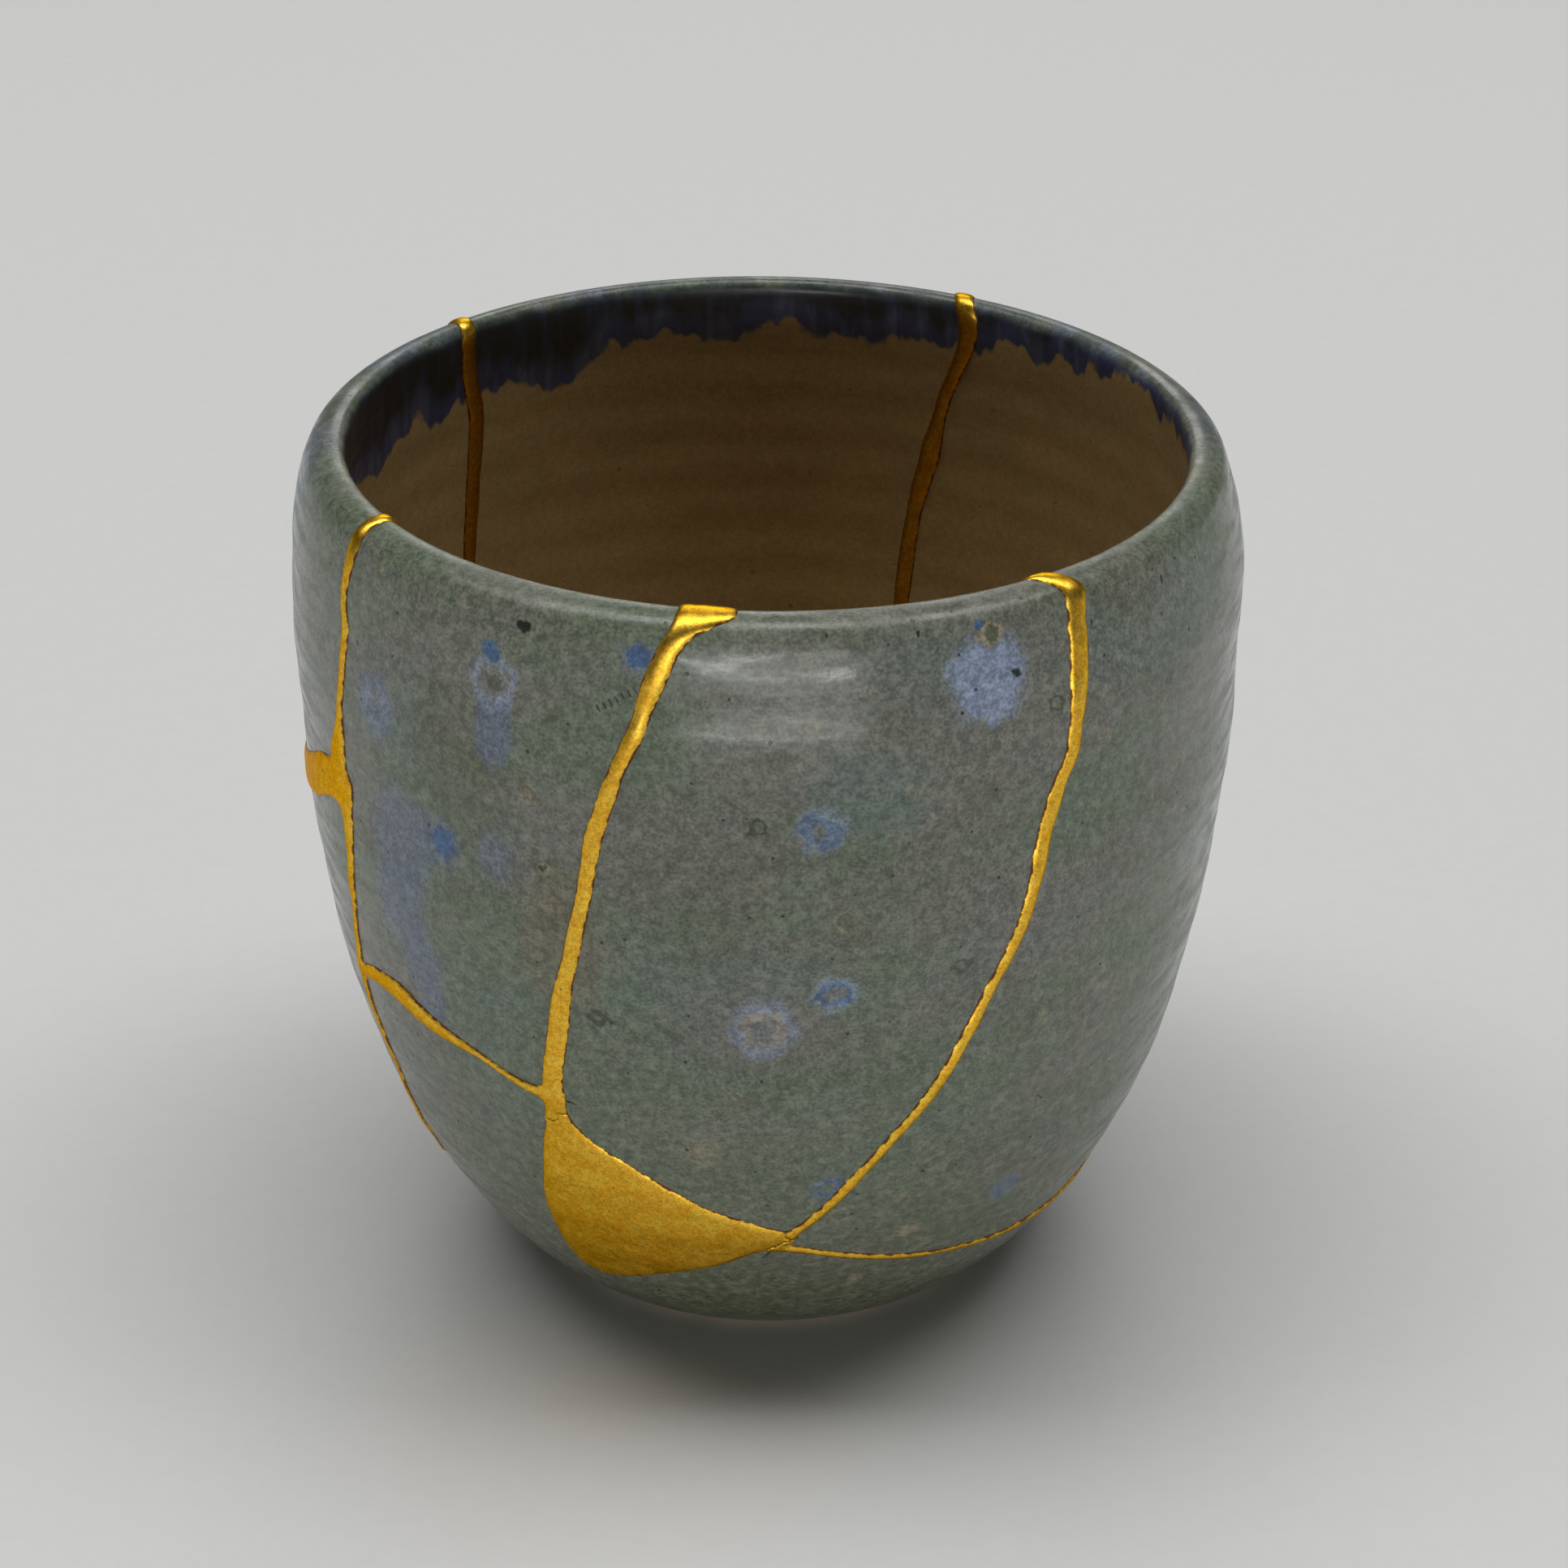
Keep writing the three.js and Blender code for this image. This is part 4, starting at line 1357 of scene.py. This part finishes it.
class TEACUP_OT_shards(bpy.types.Operator):
    """Turn the cup, break it along its seams and glaze the seven shards"""

    bl_idname = "teacup.make_shards"
    bl_label = "Make Shards"
    bl_options = {"REGISTER", "UNDO"}

    def execute(self, context):
        scene = context.scene
        form = CupForm(scene.teacup_sizes)
        mend = Mend(form, scene.teacup_gold.fillet / MM)
        material = glazed_stoneware(form, scene.teacup_glaze, shared_groups())
        cup = turned_cup(form, scene.teacup_sizes.turn_steps)
        block = fill_cutter(mend.fill)
        gap = scene.teacup_gold.break_gap / MM
        cutters = [thin_cutter(line, gap) for line in mend.seams]
        for cutter in [*cutters, block]:
            cup.data = cut(cup, cutter)
            bpy.data.objects.remove(cutter)
        whole = bmesh.new()
        whole.from_mesh(cup.data)
        bodies = [body for body in loose_bodies(whole) if len(body) > FEWEST_FACES]
        for index, body in enumerate(bodies):
            for face in body:
                face.material_index = index
        if len(bodies) != len(SHARD_PLACES):
            raise RuntimeError(f"the cup broke into {len(bodies)} pieces, not {len(SHARD_PLACES)}")
        for node, place in SHARD_PLACES.items():
            aim = form.place_at(*place) * MM
            body = min(bodies, key=lambda faces: nearest_face(faces, aim))
            self.make_shard(node, whole, body, form, material)
        whole.free()
        bpy.data.objects.remove(cup)
        return {"FINISHED"}

    def make_shard(self, node, whole, body, form, material):
        number = next(iter(body)).material_index
        mesh = make_mesh(f"{node}_glazed", faces_of_index(whole, number))
        note_surface(mesh, form)
        mesh.set_sharp_from_angle(angle=math.radians(SHARP_EDGE))
        mesh.materials.clear()
        mesh.materials.append(material)
        piece = make_object(f"{node}_glazed", mesh)
        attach(piece, "root")
        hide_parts(node)


def nearest_face(faces, aim):
    """Distance from a point to the nearest corner of some faces."""
    corners = np.array([face.verts[0].co[:] for face in faces])
    return float(np.min(np.linalg.norm(corners - aim, axis=1)))


class TEACUP_OT_gold(bpy.types.Operator):
    """Lay the lacquer and gold along the breaks and over the lost piece"""

    bl_idname = "teacup.lay_gold"
    bl_label = "Lay Gold"
    bl_options = {"REGISTER", "UNDO"}

    def execute(self, context):
        scene = context.scene
        form = CupForm(scene.teacup_sizes)
        look = scene.teacup_gold
        mend = Mend(form, look.fillet / MM)
        material = powdered_gold(look, shared_groups())
        bm, seam, fill = self.unrolled_gold(form, mend, look)
        self.lay_on_skin(bm, seam, fill, form, look)
        for number, node in enumerate(("gold_seams", "gold_fill")):
            mesh = make_mesh(f"{node}_laid", faces_of_index(bm, number))
            mesh.materials.append(material)
            piece = make_object(f"{node}_laid", mesh)
            backing = piece.modifiers.new("backing", "SOLIDIFY")
            backing.thickness = look.backing
            backing.offset = -1.0
            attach(piece, "root")
            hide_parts(node)
        bm.free()
        return {"FINISHED"}

    def lay_on_skin(self, bm, seam, fill, form, look):
        """Bring the unrolled grid onto the cup, crowned, and mark the faces of seams and fill."""
        edge = smooth_most(seam, fill, look.fillet / MM)
        places = points_of(bm)
        skin = form.skin(places[:, 0], places[:, 1])
        edge = edge + self.brush_waver(skin, look.waver / MM)
        rounded = 1 - np.exp(-np.maximum(edge, 0) / (look.round_off / MM))
        proud = np.where(edge > 0, look.crown / MM * rounded, SKIRT_SLOPE * edge)
        crest, end = form.marks["crest"], form.marks["lip_in"] + 1.0
        # inside: how far each point runs into the bowl, which the gold's material uses for painted shade.
        facts = {"edge": edge, "inside": smooth_step(places[:, 1], crest, end)}
        layers = {name: bm.verts.layers.float.new(name) for name in facts}
        for vert, place in zip(bm.verts, form.skin(places[:, 0], places[:, 1], proud)):
            vert.co = place * MM
            for name, layer in layers.items():
                vert[layer] = facts[name][vert.index]
        kept = set(np.nonzero(edge > -SKIRT)[0].tolist())
        bare = [face for face in bm.faces if not any(vert.index in kept for vert in face.verts)]
        in_fill = set(np.nonzero(fill > seam)[0].tolist())
        for face in bm.faces:
            face.material_index = int(sum(vert.index in in_fill for vert in face.verts) > 2)
        bmesh.ops.delete(bm, geom=bare, context="FACES")
        bmesh.ops.remove_doubles(bm, verts=bm.verts[:], dist=0.001 * MM)

    def unrolled_gold(self, form, mend, look):
        """A grid over angle and outline, kept only near the gold, with the fields at its points."""
        start = form.marks["glaze"] + 2.0
        end = form.marks["floor"] + 2.0
        coarse = math.prod(cuts + 1 for cuts, _ in GOLD_ROUNDS) * (look.cell / MM)
        columns = round(2 * math.pi * form.belly / coarse)
        rows = round((end - start) / coarse)
        bm = bmesh.new()
        bmesh.ops.create_grid(bm, x_segments=columns, y_segments=rows, size=0.5)
        for vert in bm.verts:
            vert.co = ((vert.co.x + 0.5) * 2 * math.pi, start + (vert.co.y + 0.5) * (end - start), 0.0)
        for cuts, reach in GOLD_ROUNDS:
            if cuts:
                bmesh.ops.subdivide_edges(bm, edges=bm.edges[:], cuts=cuts, use_grid_fill=True)
            places = points_of(bm)
            seam, fill = mend.fields(form.skin(places[:, 0], places[:, 1]))
            bm.verts.index_update()
            near = np.maximum(seam, fill) > -reach
            far = [face for face in bm.faces if not any(near[vert.index] for vert in face.verts)]
            bmesh.ops.delete(bm, geom=far, context="FACES")
        places = points_of(bm)
        bm.verts.index_update()
        seam, fill = mend.fields(form.skin(places[:, 0], places[:, 1]))
        return bm, seam, fill

    def brush_waver(self, skin, waver):
        """How far the brushed edge strays in or out at each point."""
        slow = np.array([noise.noise(Vector(point / 3.7)) for point in skin])
        quick = np.array([noise.noise(Vector(point / 1.1)) for point in skin])
        return waver * (slow + 0.45 * quick)


class TEACUP_OT_stage(bpy.types.Operator):
    """Set the pale floor, the soft lights and the camera"""

    bl_idname = "teacup.set_stage"
    bl_label = "Set Stage"
    bl_options = {"REGISTER", "UNDO"}

    def execute(self, context):
        look = context.scene.teacup_stage
        self.lay_floor(look)
        self.light_room(context.scene, look)
        for name, (place, size) in LIGHTS.items():
            self.add_light(name, place, size, getattr(look, f"{name.lower()}_watts"))
        self.aim_camera(context.scene, look)
        return {"FINISHED"}

    def lay_floor(self, look):
        bm = bmesh.new()
        bmesh.ops.create_grid(bm, x_segments=2, y_segments=2, size=FLOOR_REACH)
        mesh = make_mesh("paper_floor", bm)
        mesh.materials.append(paper(look.paper, shared_groups()))
        make_object("paper_floor", mesh)

    def light_room(self, scene, look):
        world = bpy.data.worlds.new("Soft Room")
        world.use_nodes = True
        bench = Bench(world.node_tree)
        parts = bench.node("ShaderNodeSeparateXYZ")
        bench.feed(parts.inputs[0], bench.node("ShaderNodeTexCoord").outputs["Generated"])
        strength = bench.step(parts.outputs[2], 0.0, 0.25, look.glow_strength, look.dome_strength)
        background = world.node_tree.nodes["Background"]
        background.inputs["Color"].default_value = (*look.glow, 1.0)
        bench.feed(background.inputs["Strength"], strength)
        scene.world = world
        scene.view_settings.view_transform = "Standard"

    def add_light(self, name, place, size, watts):
        light = bpy.data.lights.new(name, "AREA")
        light.shape = "RECTANGLE"
        light.size, light.size_y = size
        light.energy = watts
        lamp = bpy.data.objects.new(name, light)
        lamp.location = place
        lamp.visible_camera = False
        aim = Vector(LIGHTS_AIM) - lamp.location
        lamp.rotation_euler = aim.to_track_quat("-Z", "Y").to_euler()
        bpy.context.scene.collection.objects.link(lamp)

    def aim_camera(self, scene, look):
        camera = bpy.data.cameras.new("Camera")
        camera.sensor_width = 36.0
        camera.lens = look.camera_lens
        camera.clip_start = 0.01
        holder = bpy.data.objects.new("Camera", camera)
        back = Vector((0.0, -math.cos(look.camera_rise), math.sin(look.camera_rise)))
        holder.location = Vector(look.camera_aim) + back * look.camera_distance
        holder.rotation_euler = (-back).to_track_quat("-Z", "Y").to_euler()
        scene.collection.objects.link(holder)
        scene.camera = holder


class TEACUP_PT_panel(bpy.types.Panel):
    """The teacup's sizes, colours and steps"""

    bl_idname = "TEACUP_PT_panel"
    bl_label = "Mended Teacup"
    bl_space_type = "VIEW_3D"
    bl_region_type = "UI"
    bl_category = "Teacup"

    def draw(self, context):
        for title, group in SETTINGS.items():
            settings = getattr(context.scene, title)
            box = self.layout.box()
            for field in group.__annotations__:
                box.prop(settings, field)
        for operator in STEPS:
            self.layout.operator(operator.bl_idname)


SETTINGS = {
    "teacup_sizes": TeacupSizes,
    "teacup_glaze": GlazeColours,
    "teacup_gold": GoldLook,
    "teacup_stage": StageLook,
}
STEPS = (TEACUP_OT_shards, TEACUP_OT_gold, TEACUP_OT_stage)
CLASSES = (*SETTINGS.values(), *STEPS, TEACUP_PT_panel)


def register():
    for cls in CLASSES:
        bpy.utils.register_class(cls)
    for title, group in SETTINGS.items():
        setattr(bpy.types.Scene, title, PointerProperty(type=group))


def unregister():
    for title in SETTINGS:
        delattr(bpy.types.Scene, title)
    for cls in reversed(CLASSES):
        bpy.utils.unregister_class(cls)


def main():
    register()
    bpy.ops.teacup.make_shards()
    bpy.ops.teacup.lay_gold()
    bpy.ops.teacup.set_stage()


if __name__ == "__main__":
    main()
